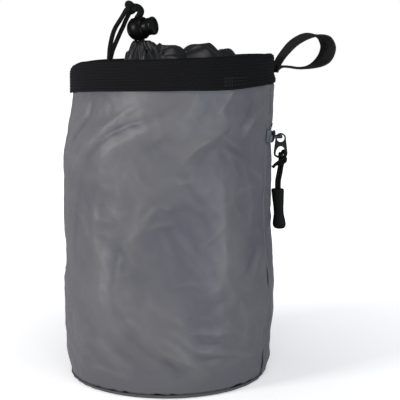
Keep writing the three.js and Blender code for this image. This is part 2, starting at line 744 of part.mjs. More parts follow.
// The carry loop: one flat webbing, its width turned from the binding's face to lie square to the
// plane of the ring.
function carryLoop() {
  const bandFace = bandDepth + loopWall / 2 + layerGap;
  const outward = new THREE.Vector3(Math.cos(loopTurn * degree), Math.sin(loopTurn * degree), 0);
  const points = carryLoopRoute.map((row) => {
    const height = bodyHeight - loopRoot + row.up * loopTall;
    const out = row.layer * (loopWall + layerGap) + row.out * loopReach;
    return onWall(loopTurn, height, bandFace).addScaledVector(outward, out);
  });
  const route = new THREE.CatmullRomCurve3(points);
  const steps = 40;
  const rootWidth = new THREE.Vector3(Math.sin(loopTurn * degree), -Math.cos(loopTurn * degree), 0);
  const farWidth = loopFarWidth.clone().normalize();
  const box = new THREE.BoxGeometry(steps, loopWidth, loopWall, steps, 1, 1);
  const geometry = reshaped(box, (corner) => {
    const share = THREE.MathUtils.clamp(corner.x / steps + 0.5, 0, 1);
    const middle = route.getPointAt(share);
    const forward = route.getTangentAt(share);
    const free = smoothStep(0.04, 0.5, share) * (1 - smoothStep(0.74, 0.95, share));
    const width = rootWidth.clone().lerp(farWidth, free).projectOnPlane(forward).normalize();
    const face = new THREE.Vector3().crossVectors(forward, width);
    return middle.addScaledVector(width, corner.y).addScaledVector(face, corner.z);
  });
  return piece('carry_loop', geometry, finishes.webbing);
}

const bag = new THREE.Group();
bag.add(sideWall(), basePanel(), rimBand(), pocketPanel(), pocketTop(), zipTape(), zipCoil());
bag.add(collar(), cordLoop(), carryLoop());

const zip = new THREE.Group();
const sliderPlace = onWall(sliderTurn, zipHeight, coilDepth + sliderLift);
zip.position.copy(sliderPlace);
zip.rotation.z = sliderTurn * degree;
zip.add(zipSlider());
const pull = new THREE.Group();
pull.position.set(bailReach, 0, 0);
pull.add(pullTab(), pullCord(), pullGrip());
zip.add(pull);
bag.add(zip);

const lock = new THREE.Group();
lock.applyMatrix4(lockFrame);
lock.add(lockBarrel(), lockButton(), drawcordStrand('cord_strand_front', -1));
lock.add(drawcordStrand('cord_strand_back', 1));
bag.add(lock);

const knot = cordKnot();
const knotTilt = (knotLean - lockLean) * degree;
const knotSeat = Math.hypot(knotLength / 2 * Math.sin(knotTilt), knotHeight / 2 * Math.cos(knotTilt));
knot.position.copy(lockPlace).addScaledVector(boreAxis, lockRadius - layerGap + knotSeat);
knot.rotation.y = knotLean * degree;
bag.add(knot);

export default bag;
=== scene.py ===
"""A climbing chalk bag: cloth body, zipped back pocket, ribbed rim binding, gathered collar with a
cord lock, and a webbing carry loop. Metres, +Z up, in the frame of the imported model."""

import math
import random
from collections import namedtuple

import bmesh
import bpy
import numpy as np
from mathutils import Matrix, Vector, noise


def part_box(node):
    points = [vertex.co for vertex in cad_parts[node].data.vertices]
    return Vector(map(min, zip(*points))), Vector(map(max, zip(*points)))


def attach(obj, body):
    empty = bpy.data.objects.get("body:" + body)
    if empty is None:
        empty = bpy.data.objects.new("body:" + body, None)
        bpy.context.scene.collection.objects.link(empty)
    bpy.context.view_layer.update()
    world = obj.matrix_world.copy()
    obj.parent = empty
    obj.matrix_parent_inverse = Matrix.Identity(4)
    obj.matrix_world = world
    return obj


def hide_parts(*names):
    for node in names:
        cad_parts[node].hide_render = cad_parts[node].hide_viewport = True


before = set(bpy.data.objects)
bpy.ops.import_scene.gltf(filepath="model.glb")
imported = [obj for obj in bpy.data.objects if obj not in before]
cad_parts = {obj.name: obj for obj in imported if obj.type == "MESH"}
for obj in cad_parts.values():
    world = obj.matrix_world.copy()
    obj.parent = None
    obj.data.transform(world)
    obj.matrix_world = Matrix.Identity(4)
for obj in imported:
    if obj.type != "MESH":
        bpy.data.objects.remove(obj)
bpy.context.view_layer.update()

MM = 0.001
TAU = 2 * math.pi

# Sizes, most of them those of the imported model
BODY_HEIGHT = 196 * MM
BODY_RADIUS = 63.5 * MM
CLOTH_WALL = 1.2 * MM
LAYER_GAP = 0.35 * MM
RIM_RISE = 2.2 * MM
RIM_SLUMP = 2.6 * MM
RIM_SHOULDER = 6 * MM
RIM_SAG = 1.9 * MM
BASE_SEAM_HEIGHT = 4 * MM
BASE_FLAT_RADIUS = 58.5 * MM
FOLD_DEPTH = 2.6 * MM
FOLD_REACH = 50 * MM
FOLD_SPREAD = 12 * MM
BAND_HEIGHT = 17.5 * MM
BAND_INNER_HEIGHT = 14 * MM
BAND_WALL = 1.5 * MM
POCKET_START = math.radians(-19)
POCKET_END = math.radians(172)
ZIP_HEIGHT = 146.2 * MM
ZIP_OPENING = 8 * MM
TAPE_WALL = 0.5 * MM
COIL_WIDTH = 3 * MM
SLIDER_HALF_LENGTH = 4.8 * MM
CORD_RADIUS = 1.35 * MM
LOCK_PLACE = Vector((-16, -18, 212.9)) * MM
LOCK_RADIUS = 7.3 * MM
LOCK_LEAN = math.radians(-10.5)
LOCK_TURN = math.radians(-25)
LOCK_LIP_AT = 4.2 * MM
BUTTON_RADIUS = 5.1 * MM
BUTTON_REACH = 10.5 * MM
COLLAR_HEM = 13 * MM
COLLAR_SINK = 10.5 * MM
COLLAR_RISE = 18.5 * MM
NECK_RADIUS = 4.25 * MM
BELL_REACH = 7.1 * MM
LOOP_WIDTH = 15.6 * MM
LOOP_WALL = 1.3 * MM
LOOP_TURN = math.radians(11)
LOOP_REACH = 36.8 * MM
LOOP_TALL = 26.6 * MM
LOOP_ROOT = 15 * MM
LOOP_FAR_WIDTH = Vector((0.45, -0.88, -0.07)).normalized()
LOOP_UNDER_WIDTH = Vector((-0.08, -0.99, 0.02)).normalized()
SWING_PLACE = Vector((69.555, 0, 147.496)) * MM

# Sizes that follow from these
BAND_FACE = LAYER_GAP + BAND_WALL
BAND_BOTTOM = BODY_HEIGHT - BAND_HEIGHT
POCKET_SPAN = POCKET_END - POCKET_START
POCKET_FACE = LAYER_GAP + CLOTH_WALL
BODY_ROUND = TAU * BODY_RADIUS

# Camera of the photograph, which is 400 pixels wide and high
CAMERA_PLACE = Vector((19.9, -660, 204)) * MM
CAMERA_PITCH = math.radians(8.27)
CAMERA_LENS = 96.75
CAMERA_SENSOR = 36.0
PHOTO_SIDE = 400
PHOTO_FOCUS = CAMERA_LENS / CAMERA_SENSOR * PHOTO_SIDE

# Level sections of the wall: up is a share of BODY_HEIGHT, round and shift of BODY_RADIUS.
Section = namedtuple("Section", "up round shift")
WALL_SECTIONS = [
    Section(0.022, 0.959, -0.005),
    Section(0.061, 0.981, -0.011),
    Section(0.112, 0.992, -0.006),
    Section(0.179, 1.009, -0.005),
    Section(0.265, 1.016, -0.005),
    Section(0.388, 1.002, -0.002),
    Section(0.526, 0.991, -0.015),
    Section(0.638, 0.991, -0.009),
    Section(0.755, 0.983, 0.0),
    Section(0.801, 0.975, 0.02),
    Section(0.878, 0.953, 0.04),
    Section(1.0, 0.947, 0.047),
]

# Main folds: turn and lean in degrees, up a share of BODY_HEIGHT, reach, spread and stand shares of
# FOLD_REACH, FOLD_SPREAD and FOLD_DEPTH.
Fold = namedtuple("Fold", "turn up lean reach spread stand")
WALL_FOLDS = [
    Fold(-141, 0.73, 50, 0.55, 0.75, 0.45),
    Fold(-118, 0.81, 60, 0.6, 0.8, 0.35),
    Fold(-131, 0.81, 52, 0.5, 0.7, -0.3),
    Fold(-124, 0.69, 45, 0.6, 0.8, 0.3),
    Fold(-100, 0.79, 68, 0.5, 0.8, 0.35),
    Fold(-68, 0.76, 59, 0.42, 0.7, 0.7),
    Fold(-52, 0.74, -66, 0.3, 0.6, -0.6),
    Fold(-37, 0.83, 45, 0.4, 0.65, 0.7),
    Fold(-29, 0.38, 54, 0.3, 0.6, 0.5),
    Fold(-118, 0.4, 10, 0.9, 1.1, 0.6),
    Fold(-104, 0.24, -58, 0.55, 0.8, 0.7),
    Fold(-84, 0.15, -56, 0.5, 0.75, 0.6),
    Fold(-92, 0.21, -58, 0.6, 0.8, -0.6),
    Fold(-143, 0.18, -20, 0.5, 0.7, 0.6),
    Fold(-82, 0.45, 5, 1.2, 1.6, -0.5),
    Fold(35, 0.35, 25, 0.8, 1.0, -0.6),
    Fold(78, 0.55, -30, 0.7, 0.9, 0.6),
    Fold(120, 0.3, 40, 0.8, 0.9, 0.6),
    Fold(150, 0.62, -45, 0.6, 0.8, -0.6),
]

# Fine creases on the front, each a line of photograph pixels; width and stand in millimetres, with
# the share of each that the crest takes and the power by which it falls off.
CREASE_STAND_SHARE = 1.25
CREASE_WIDTH_SHARE = 0.85
CREASE_POWER = 1.3
Crease = namedtuple("Crease", "line width stand")
FRONT_CREASES = [
    Crease([(150, 98), (134, 104), (117, 112), (104, 123), (93, 135), (84, 150), (74, 168)], 3.0, 0.9),
    Crease([(176, 105), (160, 114), (142, 120), (122, 125), (108, 132), (97, 143), (88, 158),
            (83, 178)], 2.2, -0.8),
    Crease([(178, 112), (160, 125), (142, 133), (124, 140), (108, 151), (96, 166)], 4.2, 0.8),
    Crease([(138, 229), (150, 216), (161, 205)], 1.6, 0.6),
    Crease([(159, 205), (166, 208), (172, 212)], 1.2, 0.5),
    Crease([(146, 152), (159, 143), (172, 138)], 3.0, -0.5),
    Crease([(181, 165), (197, 149), (212, 140), (228, 130)], 2.6, 1.1),
    Crease([(210, 154), (219, 145), (224, 136), (234, 130)], 1.6, -0.4),
    Crease([(221, 137), (229, 141), (236, 147), (246, 151)], 1.3, 0.85),
    Crease([(226, 150), (234, 156), (243, 160)], 1.2, 0.7),
    Crease([(228, 145), (238, 152), (250, 158)], 1.2, -0.7),
    Crease([(264, 101), (257, 112), (250, 125), (243, 141)], 1.3, 1.45),
    Crease([(262, 106), (265, 115), (269, 124)], 1.1, 1.1),
    Crease([(254, 101), (248, 115), (240, 131)], 1.6, -0.7),
    Crease([(260, 246), (257, 257), (251, 274)], 1.5, 1.3),
    Crease([(160, 339), (173, 347), (184, 358), (195, 373), (206, 384)], 2.2, 0.8),
    Crease([(160, 352), (170, 363), (176, 373), (181, 383)], 2.0, -0.7),
    Crease([(190, 336), (202, 334), (218, 335), (232, 331)], 1.5, 0.6),
    Crease([(196, 344), (208, 346), (222, 343)], 1.5, -0.5),
    Crease([(258, 246), (250, 262), (243, 276)], 1.8, -0.55),
    Crease([(122, 240), (116, 268), (115, 292), (119, 314), (134, 328)], 2.2, -0.4),
    Crease([(110, 228), (103, 262), (103, 292), (110, 324), (126, 344)], 5.0, 0.65),
    Crease([(127, 318), (140, 328), (162, 354), (200, 370), (212, 380)], 2.2, 1.2),
    Crease([(124, 332), (146, 352), (166, 364), (192, 377)], 2.4, -0.6),
    Crease([(99, 336), (112, 356), (136, 374)], 2.6, 0.6),
    Crease([(79, 306), (82, 332), (88, 358)], 1.8, 0.7),
    Crease([(84, 98), (82, 115), (74, 131), (70, 142)], 2.0, -0.95),
    Crease([(79, 97), (79, 113), (72, 126), (67, 138)], 2.2, 0.9),
    Crease([(168, 328), (184, 342), (198, 352), (258, 354)], 2.0, 0.8),
    Crease([(200, 362), (222, 357), (242, 356)], 1.8, -0.45),
    Crease([(196, 92), (190, 106), (176, 122), (152, 142)], 2.8, 0.6),
    Crease([(232, 92), (226, 104), (217, 115)], 1.6, 0.85),
    Crease([(212, 95), (205, 110), (194, 122)], 2.0, -0.5),
    Crease([(152, 186), (140, 214), (132, 246), (134, 276)], 4.4, 0.6),
    Crease([(222, 176), (228, 214), (226, 258), (216, 304)], 4.4, 0.55),
    Crease([(248, 168), (254, 204), (250, 236)], 2.8, 0.55),
    Crease([(176, 206), (170, 240), (178, 272)], 4.0, -0.5),
    Crease([(98, 190), (94, 226), (98, 262)], 3.4, 0.6),
    Crease([(80, 190), (76, 230), (78, 270)], 2.6, -0.5),
    Crease([(240, 300), (247, 324), (243, 348)], 2.4, 0.55),
    Crease([(146, 232), (160, 226), (178, 226)], 1.4, 0.6),
    Crease([(168, 290), (188, 284), (206, 290)], 1.6, 0.5),
    Crease([(92, 366), (110, 372), (130, 381)], 1.6, 0.5),
    Crease([(252, 168), (262, 176), (266, 190)], 1.6, 0.7),
    Crease([(238, 196), (246, 188), (258, 182)], 1.5, 0.55),
    Crease([(130, 244), (146, 226), (158, 206)], 1.7, 0.6),
    Crease([(164, 178), (182, 184), (200, 182)], 1.5, 0.4),
    Crease([(198, 250), (214, 240), (228, 224)], 1.7, 0.45),
    Crease([(226, 322), (240, 334), (252, 340)], 1.7, 0.6),
    Crease([(150, 300), (166, 318), (186, 326)], 1.7, 0.45),
    Crease([(72, 206), (84, 220), (90, 240)], 1.8, 0.6),
    Crease([(70, 340), (78, 352), (90, 372)], 1.7, 0.6),
]

# Places where the wall's edge stands off the base seam: turn and half width in degrees, and lift
# in millimetres.
Pucker = namedtuple("Pucker", "turn reach lift")
SEAM_PUCKERS = [
    Pucker(-131, 3.4, 0.5),
    Pucker(-121, 2.6, 0.7),
    Pucker(-112.5, 2.2, 0.9),
    Pucker(-94, 2.8, 0.8),
    Pucker(-86, 1.6, 0.7),
    Pucker(-45, 4.0, 1.0),
    Pucker(-34, 2.2, 0.7),
    Pucker(40, 2.5, 0.8),
    Pucker(103, 2.0, 0.8),
    Pucker(155, 2.2, 0.9),
]

# Crumples of the collar: x, y, reach and spread are shares of BODY_RADIUS, stand of COLLAR_RISE.
Crumple = namedtuple("Crumple", "x y reach spread lean stand")
COLLAR_CRUMPLES = [
    Crumple(0.02, -0.17, 0.26, 0.17, 8, 0.92),
    Crumple(0.31, -0.08, 0.27, 0.2, 6, 1.0),
    Crumple(0.55, 0.0, 0.15, 0.15, 25, 0.8),
    Crumple(0.12, 0.36, 0.36, 0.15, 70, 0.62),
    Crumple(-0.45, 0.14, 0.3, 0.14, 150, 0.4),
    Crumple(0.42, -0.45, 0.24, 0.13, -40, 0.35),
    Crumple(-0.25, 0.48, 0.28, 0.13, 115, 0.4),
]

# The free bight of the drawcord, in millimetres
CORD_LOOP_ROUTE = [
    (-23.1, -20.1, 224.2), (-26.3, -22.0, 218.6), (-29.1, -24.3, 214.0), (-30.6, -28.0, 210.0),
    (-31.4, -31.8, 205.8), (-32.0, -35.0, 201.3), (-32.2, -37.0, 196.8), (-32.4, -37.6, 193.0),
    (-32.8, -35.9, 189.7), (-33.0, -32.6, 188.4), (-33.0, -29.4, 189.9), (-32.5, -28.0, 193.2),
    (-31.9, -27.3, 197.0), (-30.7, -26.2, 201.2), (-28.8, -24.4, 205.8), (-26.9, -22.2, 210.4),
    (-25.1, -20.0, 214.4), (-23.7, -18.3, 217.9), (-21.6, -17.1, 222.1),
]

# Middle line of the carry loop: layer is the webbings already on the binding, out and up are shares
# of LOOP_REACH and LOOP_TALL.
LoopPlace = namedtuple("LoopPlace", "layer out up")
CARRY_LOOP_ROUTE = [
    LoopPlace(0, 0.003, 0.137), LoopPlace(0, 0.026, 0.258), LoopPlace(0, 0.085, 0.402),
    LoopPlace(0, 0.165, 0.563), LoopPlace(0, 0.327, 0.805), LoopPlace(0, 0.503, 0.96),
    LoopPlace(0, 0.67, 1.03), LoopPlace(0, 0.83, 1.01), LoopPlace(0, 0.94, 0.91),
    LoopPlace(0, 1.0, 0.70), LoopPlace(1, 0.905, 0.46), LoopPlace(1, 0.788, 0.3),
    LoopPlace(1, 0.624, 0.2), LoopPlace(1, 0.428, 0.175), LoopPlace(1, 0.226, 0.205),
    LoopPlace(0.9, 0.095, 0.205), LoopPlace(0.6, 0.022, 0.141),
]


def add_object(name, data):
    made = bpy.data.objects.new(name, data)
    bpy.context.scene.collection.objects.link(made)
    return made


def make_camera():
    data = bpy.data.cameras.new("photo_camera")
    data.sensor_width = CAMERA_SENSOR
    data.lens = CAMERA_LENS
    data.clip_start = 0.01
    camera = add_object("photo_camera", data)
    camera.location = CAMERA_PLACE
    camera.rotation_euler = (math.pi / 2 - CAMERA_PITCH, 0, 0)
    bpy.context.scene.camera = camera


make_camera()


# Shapes of the wall

def smooth_step(low, high, value):
    share = np.clip((value - low) / (high - low), 0, 1)
    return share * share * (3 - 2 * share)


def smooth_line(places, values):
    """A function that follows a table's column smoothly."""
    places = np.asarray(places, float)
    values = np.asarray(values, float)
    slopes = np.gradient(values, places)

    def at(where):
        where = np.clip(where, places[0], places[-1])
        i = np.clip(np.searchsorted(places, where) - 1, 0, len(places) - 2)
        gap = places[i + 1] - places[i]
        t = (where - places[i]) / gap
        low = (1 + 2 * t) * (1 - t) ** 2 * values[i] + t * (1 - t) ** 2 * gap * slopes[i]
        high = t * t * (3 - 2 * t) * values[i + 1] + t * t * (t - 1) * gap * slopes[i + 1]
        return low + high

    return at


section_ups = [row.up * BODY_HEIGHT for row in WALL_SECTIONS]
wall_radius = smooth_line(section_ups, [row.round * BODY_RADIUS for row in WALL_SECTIONS])
wall_shift = smooth_line(section_ups, [row.shift * BODY_RADIUS for row in WALL_SECTIONS])


def turn_from(start, turn):
    """The turn from start, between half a turn back and half a turn on, in radians."""
    return np.mod(turn - start + math.pi, TAU) - math.pi


def fold_lift(turn, height):
    seam_fade = smooth_step(BASE_SEAM_HEIGHT, BASE_SEAM_HEIGHT + BODY_HEIGHT * 0.06, height)
    rim_fade = 1 - smooth_step(BODY_HEIGHT * 0.8, BAND_BOTTOM, height)
    lift = np.zeros_like(height)
    for fold in WALL_FOLDS:
        aside = turn_from(math.radians(fold.turn), turn) * BODY_RADIUS
        above = height - fold.up * BODY_HEIGHT
        lean = math.radians(fold.lean)
        along = aside * math.sin(lean) + above * math.cos(lean)
        across = aside * math.cos(lean) - above * math.sin(lean)
        fall = (along / (fold.reach * FOLD_REACH)) ** 2 + (across / (fold.spread * FOLD_SPREAD)) ** 2
        lift += fold.stand * FOLD_DEPTH * np.exp(-fall)
    return lift * seam_fade * rim_fade


def on_wall(turn, height, depth):
    """Places on the cloth wall, or at a depth outside it, for arrays of turns and heights."""
    turn, height, depth = np.broadcast_arrays(*(np.asarray(x, float) for x in (turn, height, depth)))
    side = np.cos(turn)
    up_shoulder = np.clip((height - BODY_HEIGHT) / RIM_SHOULDER + 1, 0, 1)
    slump = RIM_SLUMP * np.maximum(0, -side) ** 6 * up_shoulder ** 2
    radius = wall_radius(height) + fold_lift(turn, height) + depth - slump
    upper = smooth_step(BODY_HEIGHT * 0.55, BODY_HEIGHT * 0.9, height)
    rise = (RIM_RISE * side - RIM_SAG * np.maximum(0, -side) ** 10) * upper
    return np.stack((wall_shift(height) + radius * side, radius * np.sin(turn), height + rise), -1)


def wall_under_pixel(u, v):
    """The turn and height at which the ray of a photograph pixel first meets the body."""
    across = (u - PHOTO_SIDE / 2) / PHOTO_FOCUS
    down = (v - PHOTO_SIDE / 2) / PHOTO_FOCUS
    ray_y = math.cos(CAMERA_PITCH) - down * math.sin(CAMERA_PITCH)
    ray_z = -math.sin(CAMERA_PITCH) - down * math.cos(CAMERA_PITCH)
    square = across * across + ray_y * ray_y
    half = CAMERA_PLACE.x * across + CAMERA_PLACE.y * ray_y
    rest = CAMERA_PLACE.x ** 2 + CAMERA_PLACE.y ** 2 - BODY_RADIUS ** 2
    reach = (-half - math.sqrt(max(half * half - square * rest, 0))) / square
    x = CAMERA_PLACE.x + across * reach
    y = CAMERA_PLACE.y + ray_y * reach
    return math.atan2(y, x), CAMERA_PLACE.z + ray_z * reach


def back_creases(count):
    """Creases on the side that the photograph doesn't show, as lines of turns and heights."""
    draw = random.Random(41)
    creases = []
    for _ in range(count):
        turn = math.radians(draw.uniform(-8, 190))
        height = BODY_HEIGHT * draw.uniform(0.08, 0.84)
        lean = math.radians(draw.uniform(-70, 70))
        half = draw.uniform(9, 24) * MM
        bow = draw.uniform(-3, 3) * MM
        line = []
        for share in (-1, -0.33, 0.33, 1):
            aside = half * share * math.sin(lean) + bow * (1 - share * share) * math.cos(lean)
            above = half * share * math.cos(lean) - bow * (1 - share * share) * math.sin(lean)
            line.append((turn + aside / BODY_RADIUS, height + above))
        creases.append((line, draw.uniform(1.4, 3.0) * MM, draw.choice((-0.4, 0.45, 0.5)) * MM))
    return creases


def all_creases():
    front = [
        ([wall_under_pixel(*pixel) for pixel in crease.line], crease.width * MM, crease.stand * MM)
        for crease in FRONT_CREASES
    ]
    return front + back_creases(30)


WALL_CREASES = all_creases()


def crease_lift(turn, height):
    """How far the fine creases lift the cloth: a sharp ridge that fades towards its ends."""
    lift = np.zeros_like(height)
    for line, width, stand in WALL_CREASES:
        home = line[0][0]
        arc = turn_from(home, turn) * BODY_RADIUS
        spots = [(turn_from(home, spot[0]) * BODY_RADIUS, spot[1]) for spot in line]
        nearest = np.full_like(height, 1.0)
        at = np.zeros_like(height)
        passed = 0.0
        for low, high in zip(spots, spots[1:]):
            length = math.dist(low, high)
            aside, above = high[0] - low[0], high[1] - low[1]
            way = (arc - low[0]) * aside + (height - low[1]) * above
            share = np.clip(way / length ** 2, 0, 1)
            gap = np.hypot(arc - low[0] - share * aside, height - low[1] - share * above)
            closer = gap < nearest
            nearest = np.where(closer, gap, nearest)
            at = np.where(closer, passed + share * length, at)
            passed += length
        taper = np.sqrt(np.clip(np.sin(math.pi * at / passed), 0, 1))
        fall = (nearest / (CREASE_WIDTH_SHARE * width)) ** CREASE_POWER
        lift += CREASE_STAND_SHARE * stand * taper * np.exp(-fall)
    return lift


def noise_at(places, pitch, seed):
    """Smooth noise from about -1 to 1 whose bumps are about pitch across."""
    shift = Vector((seed * 3.7, seed * 1.3, seed * 2.1))
    return np.array([noise.noise(Vector(place) / pitch + shift) for place in places])


# Making meshes

def grid_piece(columns, rows, place, across=1.0, along=1.0, painted_ridge_shade=None):
    """A grid whose corner (s, t), each from 0 to 1, is moved to place(s, t). Its UV map runs to
    across and along, edges that meet are joined, and the values of the last function of (s, t) become an
    attribute of painted shading, lighter on ridges and darker in hollows."""
    bm = bmesh.new()
    uv = bm.loops.layers.uv.new("UVMap")
    # This attribute carries painted shading: a painted highlight on ridges and painted shade in hollows.
    high = bm.verts.layers.float.new("painted_ridge_shade")
    bmesh.ops.create_grid(bm, x_segments=columns, y_segments=rows, size=0.5)
    for face in bm.faces:
        for loop in face.loops:
            loop[uv].uv = ((loop.vert.co.x + 0.5) * across, (loop.vert.co.y + 0.5) * along)
    shares = np.array([vert.co[:2] for vert in bm.verts]) + 0.5
    for vert, spot in zip(bm.verts, place(shares[:, 0], shares[:, 1])):
        vert.co = spot
    if painted_ridge_shade is not None:
        for vert, value in zip(bm.verts, painted_ridge_shade(shares[:, 0], shares[:, 1])):
            vert[high] = value
    bmesh.ops.remove_doubles(bm, verts=bm.verts, dist=1e-7)
    return bm


def object_of(name, bm, material):
    mesh = bpy.data.meshes.new(name)
    bm.to_mesh(mesh)
    bm.free()
    mesh.materials.append(material)
    mesh.shade_smooth()
    return add_object(name, mesh)


def settle(piece, body, slot, *nodes):
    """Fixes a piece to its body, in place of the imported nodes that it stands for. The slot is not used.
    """
    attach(piece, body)
    if nodes:
        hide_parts(*nodes)
    return piece


def sheet_piece(name, bm, material, wall, *home):
    """A sheet given a wall on its inner side, and settled."""
    piece = object_of(name, bm, material)
    solidify = piece.modifiers.new("wall", "SOLIDIFY")
    solidify.thickness = wall
    solidify.offset = -1.0
    return settle(piece, *home)


def soften(piece, width, segments=2, angle=35):
    bevel = piece.modifiers.new("soft_edges", "BEVEL")
    bevel.width = width
    bevel.segments = segments
    bevel.limit_method = "ANGLE"
    bevel.angle_limit = math.radians(angle)
    return piece


def smooth_route(points, steps):
    """Places at even steps along a smooth line through the points."""
    points = np.asarray(points, float)
    before = 2 * points[:1] - points[1:2]
    after = 2 * points[-1:] - points[-2:-1]
    knots = np.concatenate((before, points, after))
    fine = []
    for i in range(1, len(knots) - 2):
        a, b, c, d = knots[i - 1:i + 3]
        for t in np.linspace(0, 1, 24, endpoint=False):
            fine.append(0.5 * (2 * b + (c - a) * t + (2 * a - 5 * b + 4 * c - d) * t ** 2
                               + (3 * b - a - 3 * c + d) * t ** 3))
    fine.append(points[-1])
    fine = np.array(fine)
    passed = np.concatenate(([0], np.cumsum(np.linalg.norm(np.diff(fine, axis=0), axis=1))))
    wanted = np.linspace(0, passed[-1], steps + 1)
    return np.stack([np.interp(wanted, passed, fine[:, k]) for k in range(3)], -1)


def unit_rows(rows):
    return rows / np.linalg.norm(rows, axis=1)[:, None]


def route_length(route):
    return float(np.linalg.norm(np.diff(route, axis=0), axis=1).sum())


def route_frames(route):
    """Two directions square to the route at each place, carried along without twisting."""
    tangents = unit_rows(np.gradient(route, axis=0))
    start = Vector(tangents[0]).orthogonal().normalized()
    sides = [np.array(start)]
    for tangent in tangents[1:]:
        side = sides[-1] - tangent * (sides[-1] @ tangent)
        sides.append(side / np.linalg.norm(side))
    sides = np.array(sides)
    return sides, np.cross(tangents, sides)


def fill_ends(bm):
    rims = [edge for edge in bm.edges if edge.is_boundary]
    return bmesh.ops.holes_fill(bm, edges=rims, sides=0)["faces"]


def cord_tube(route, radius, around=16):
    """A cord along the route with rounded, closed ends. Its UV map runs once round, and along in
    metres."""
    steps = len(route) - 1
    sides, ups = route_frames(route)

    def place(s, t):
        i = np.rint(t * steps).astype(int)
        angle = s * TAU
        return route[i] + radius * (np.cos(angle)[:, None] * sides[i] + np.sin(angle)[:, None] * ups[i])

    bm = grid_piece(around, steps, place, 1.0, route_length(route))
    caps = fill_ends(bm)
    inner = bmesh.ops.inset_individual(bm, faces=caps, thickness=radius * 0.35, depth=radius * 0.28)
    bmesh.ops.recalc_face_normals(bm, faces=caps + inner["faces"])
    return bm


def turned_piece(profile, around):
    """A solid turned about the X axis from (along, radius) places."""
    bm = bmesh.new()
    verts = [bm.verts.new((along, radius, 0)) for along, radius in profile]
    edges = [bm.edges.new(pair) for pair in zip(verts, verts[1:])]
    bmesh.ops.spin(bm, geom=verts + edges, cent=(0, 0, 0), axis=(1, 0, 0), angle=TAU,
                   steps=around, use_merge=True)
    bmesh.ops.remove_doubles(bm, verts=bm.verts, dist=1e-7)
    bmesh.ops.recalc_face_normals(bm, faces=bm.faces)
    return bm


def cut_away(piece, cutters):
    """Cuts the cutters out of a piece and removes them."""
    for cutter in cutters:
        boolean = piece.modifiers.new("cut", "BOOLEAN")
        boolean.operation = "DIFFERENCE"
        boolean.solver = "EXACT"
        boolean.object = cutter
    bpy.context.view_layer.update()
    evaluated = piece.evaluated_get(bpy.context.evaluated_depsgraph_get())
    mesh = bpy.data.meshes.new_from_object(evaluated)
    mesh.name = piece.name
    piece.modifiers.clear()
    piece.data = mesh
    for cutter in cutters:
        bpy.data.objects.remove(cutter)


def merged_copy(node, name, material):
    """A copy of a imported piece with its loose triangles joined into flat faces."""
    bm = bmesh.new()
    bm.from_mesh(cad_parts[node].data)
    bmesh.ops.remove_doubles(bm, verts=bm.verts, dist=2e-6)
    bmesh.ops.dissolve_limit(bm, angle_limit=math.radians(1), verts=bm.verts, edges=bm.edges)
    return object_of(name, bm, material)


def beads(name, material, placings, around=6, rings=5):
    """One mesh of many small rounded bodies, one for each placing of a ball of radius 1."""
    ball = bmesh.new()
    bmesh.ops.create_uvsphere(ball, u_segments=around, v_segments=rings, radius=1)
    unit = bpy.data.meshes.new("bead")
    ball.to_mesh(unit)
    ball.free()
    bm = bmesh.new()
    for placing in placings:
        bead = unit.copy()
        bead.transform(placing)
        bm.from_mesh(bead)
        bpy.data.meshes.remove(bead)
    bpy.data.meshes.remove(unit)
    return object_of(name, bm, material)


# How deep a stitch lies in the cloth, and how much of its pitch it fills
STITCH_SINK = -0.25
STITCH_FILL = 0.68


def stitches(name, material, rows, radius=0.17 * MM):
    """Thread stitches as one mesh, each a row of its start, end and outward direction."""
    placings = []
    for start, end, outward in rows:
        start, end, outward = Vector(start), Vector(end), Vector(outward).normalized()
        along = (end - start).normalized()
        side = along.cross(outward).normalized()
        turn = Matrix((side, outward, along)).transposed().to_4x4()
        size = Matrix.Diagonal((radius, radius * 0.8, (end - start).length / 2, 1))
        middle = Matrix.Translation((start + end) / 2 + outward * radius * STITCH_SINK)
        placings.append(middle @ turn @ size)
    return beads(name, material, placings)


def wall_stitches(turns, heights, depth, pitch=2.6 * MM):
    """Stitches along a line on the wall, given by its turns and heights."""
    route = smooth_route(on_wall(np.array(turns), np.array(heights), depth), 400)
    count = int(route_length(route) / pitch)
    spots = smooth_route(route[::20], count * 2)
    row = []
    for i in range(0, count * 2 - 1, 2):
        start, end = spots[i], spots[i] + (spots[i + 1] - spots[i]) * 2 * STITCH_FILL
        outward = ((start[0] + end[0]) / 2, (start[1] + end[1]) / 2, 0)
        row.append((start, end, outward))
    return row


# Materials

def new_material(name):
    material = bpy.data.materials.new(name)
    material.use_nodes = True
    tree = material.node_tree
    return material, tree, tree.nodes["Principled BSDF"]


def add_node(tree, kind, inputs=None, **settings):
    """A node with its settings; an input is a value or the socket that feeds it."""
    made = tree.nodes.new(kind)
    for key, value in settings.items():
        setattr(made, key, value)
    for key, value in (inputs or {}).items():
        if isinstance(value, bpy.types.NodeSocket):
            tree.links.new(value, made.inputs[key])
        else:
            made.inputs[key].default_value = value
    return made


def calculate(tree, operation, first, second=0.5):
    return add_node(tree, "ShaderNodeMath", {0: first, 1: second}, operation=operation).outputs[0]


def blend_values(tree, share, first, second):
    return add_node(tree, "ShaderNodeMix", {0: share, 2: first, 3: second}).outputs[0]


def blend_colours(tree, share, first, second):
    mix = add_node(tree, "ShaderNodeMix", {0: share, 6: first, 7: second}, data_type="RGBA")
    return mix.outputs[2]


def rescale(tree, value, low, high):
    return add_node(tree, "ShaderNodeMapRange", {0: value, 3: low, 4: high}).outputs[0]


def new_group(name, inputs, outputs):
    group = bpy.data.node_groups.new(name, "ShaderNodeTree")
    for socket, kind in inputs:
        group.interface.new_socket(socket, in_out="INPUT", socket_type=kind)
    for socket in outputs:
        group.interface.new_socket(socket, in_out="OUTPUT", socket_type="NodeSocketFloat")
    return group, group.nodes.new("NodeGroupInput").outputs, group.nodes.new("NodeGroupOutput").inputs


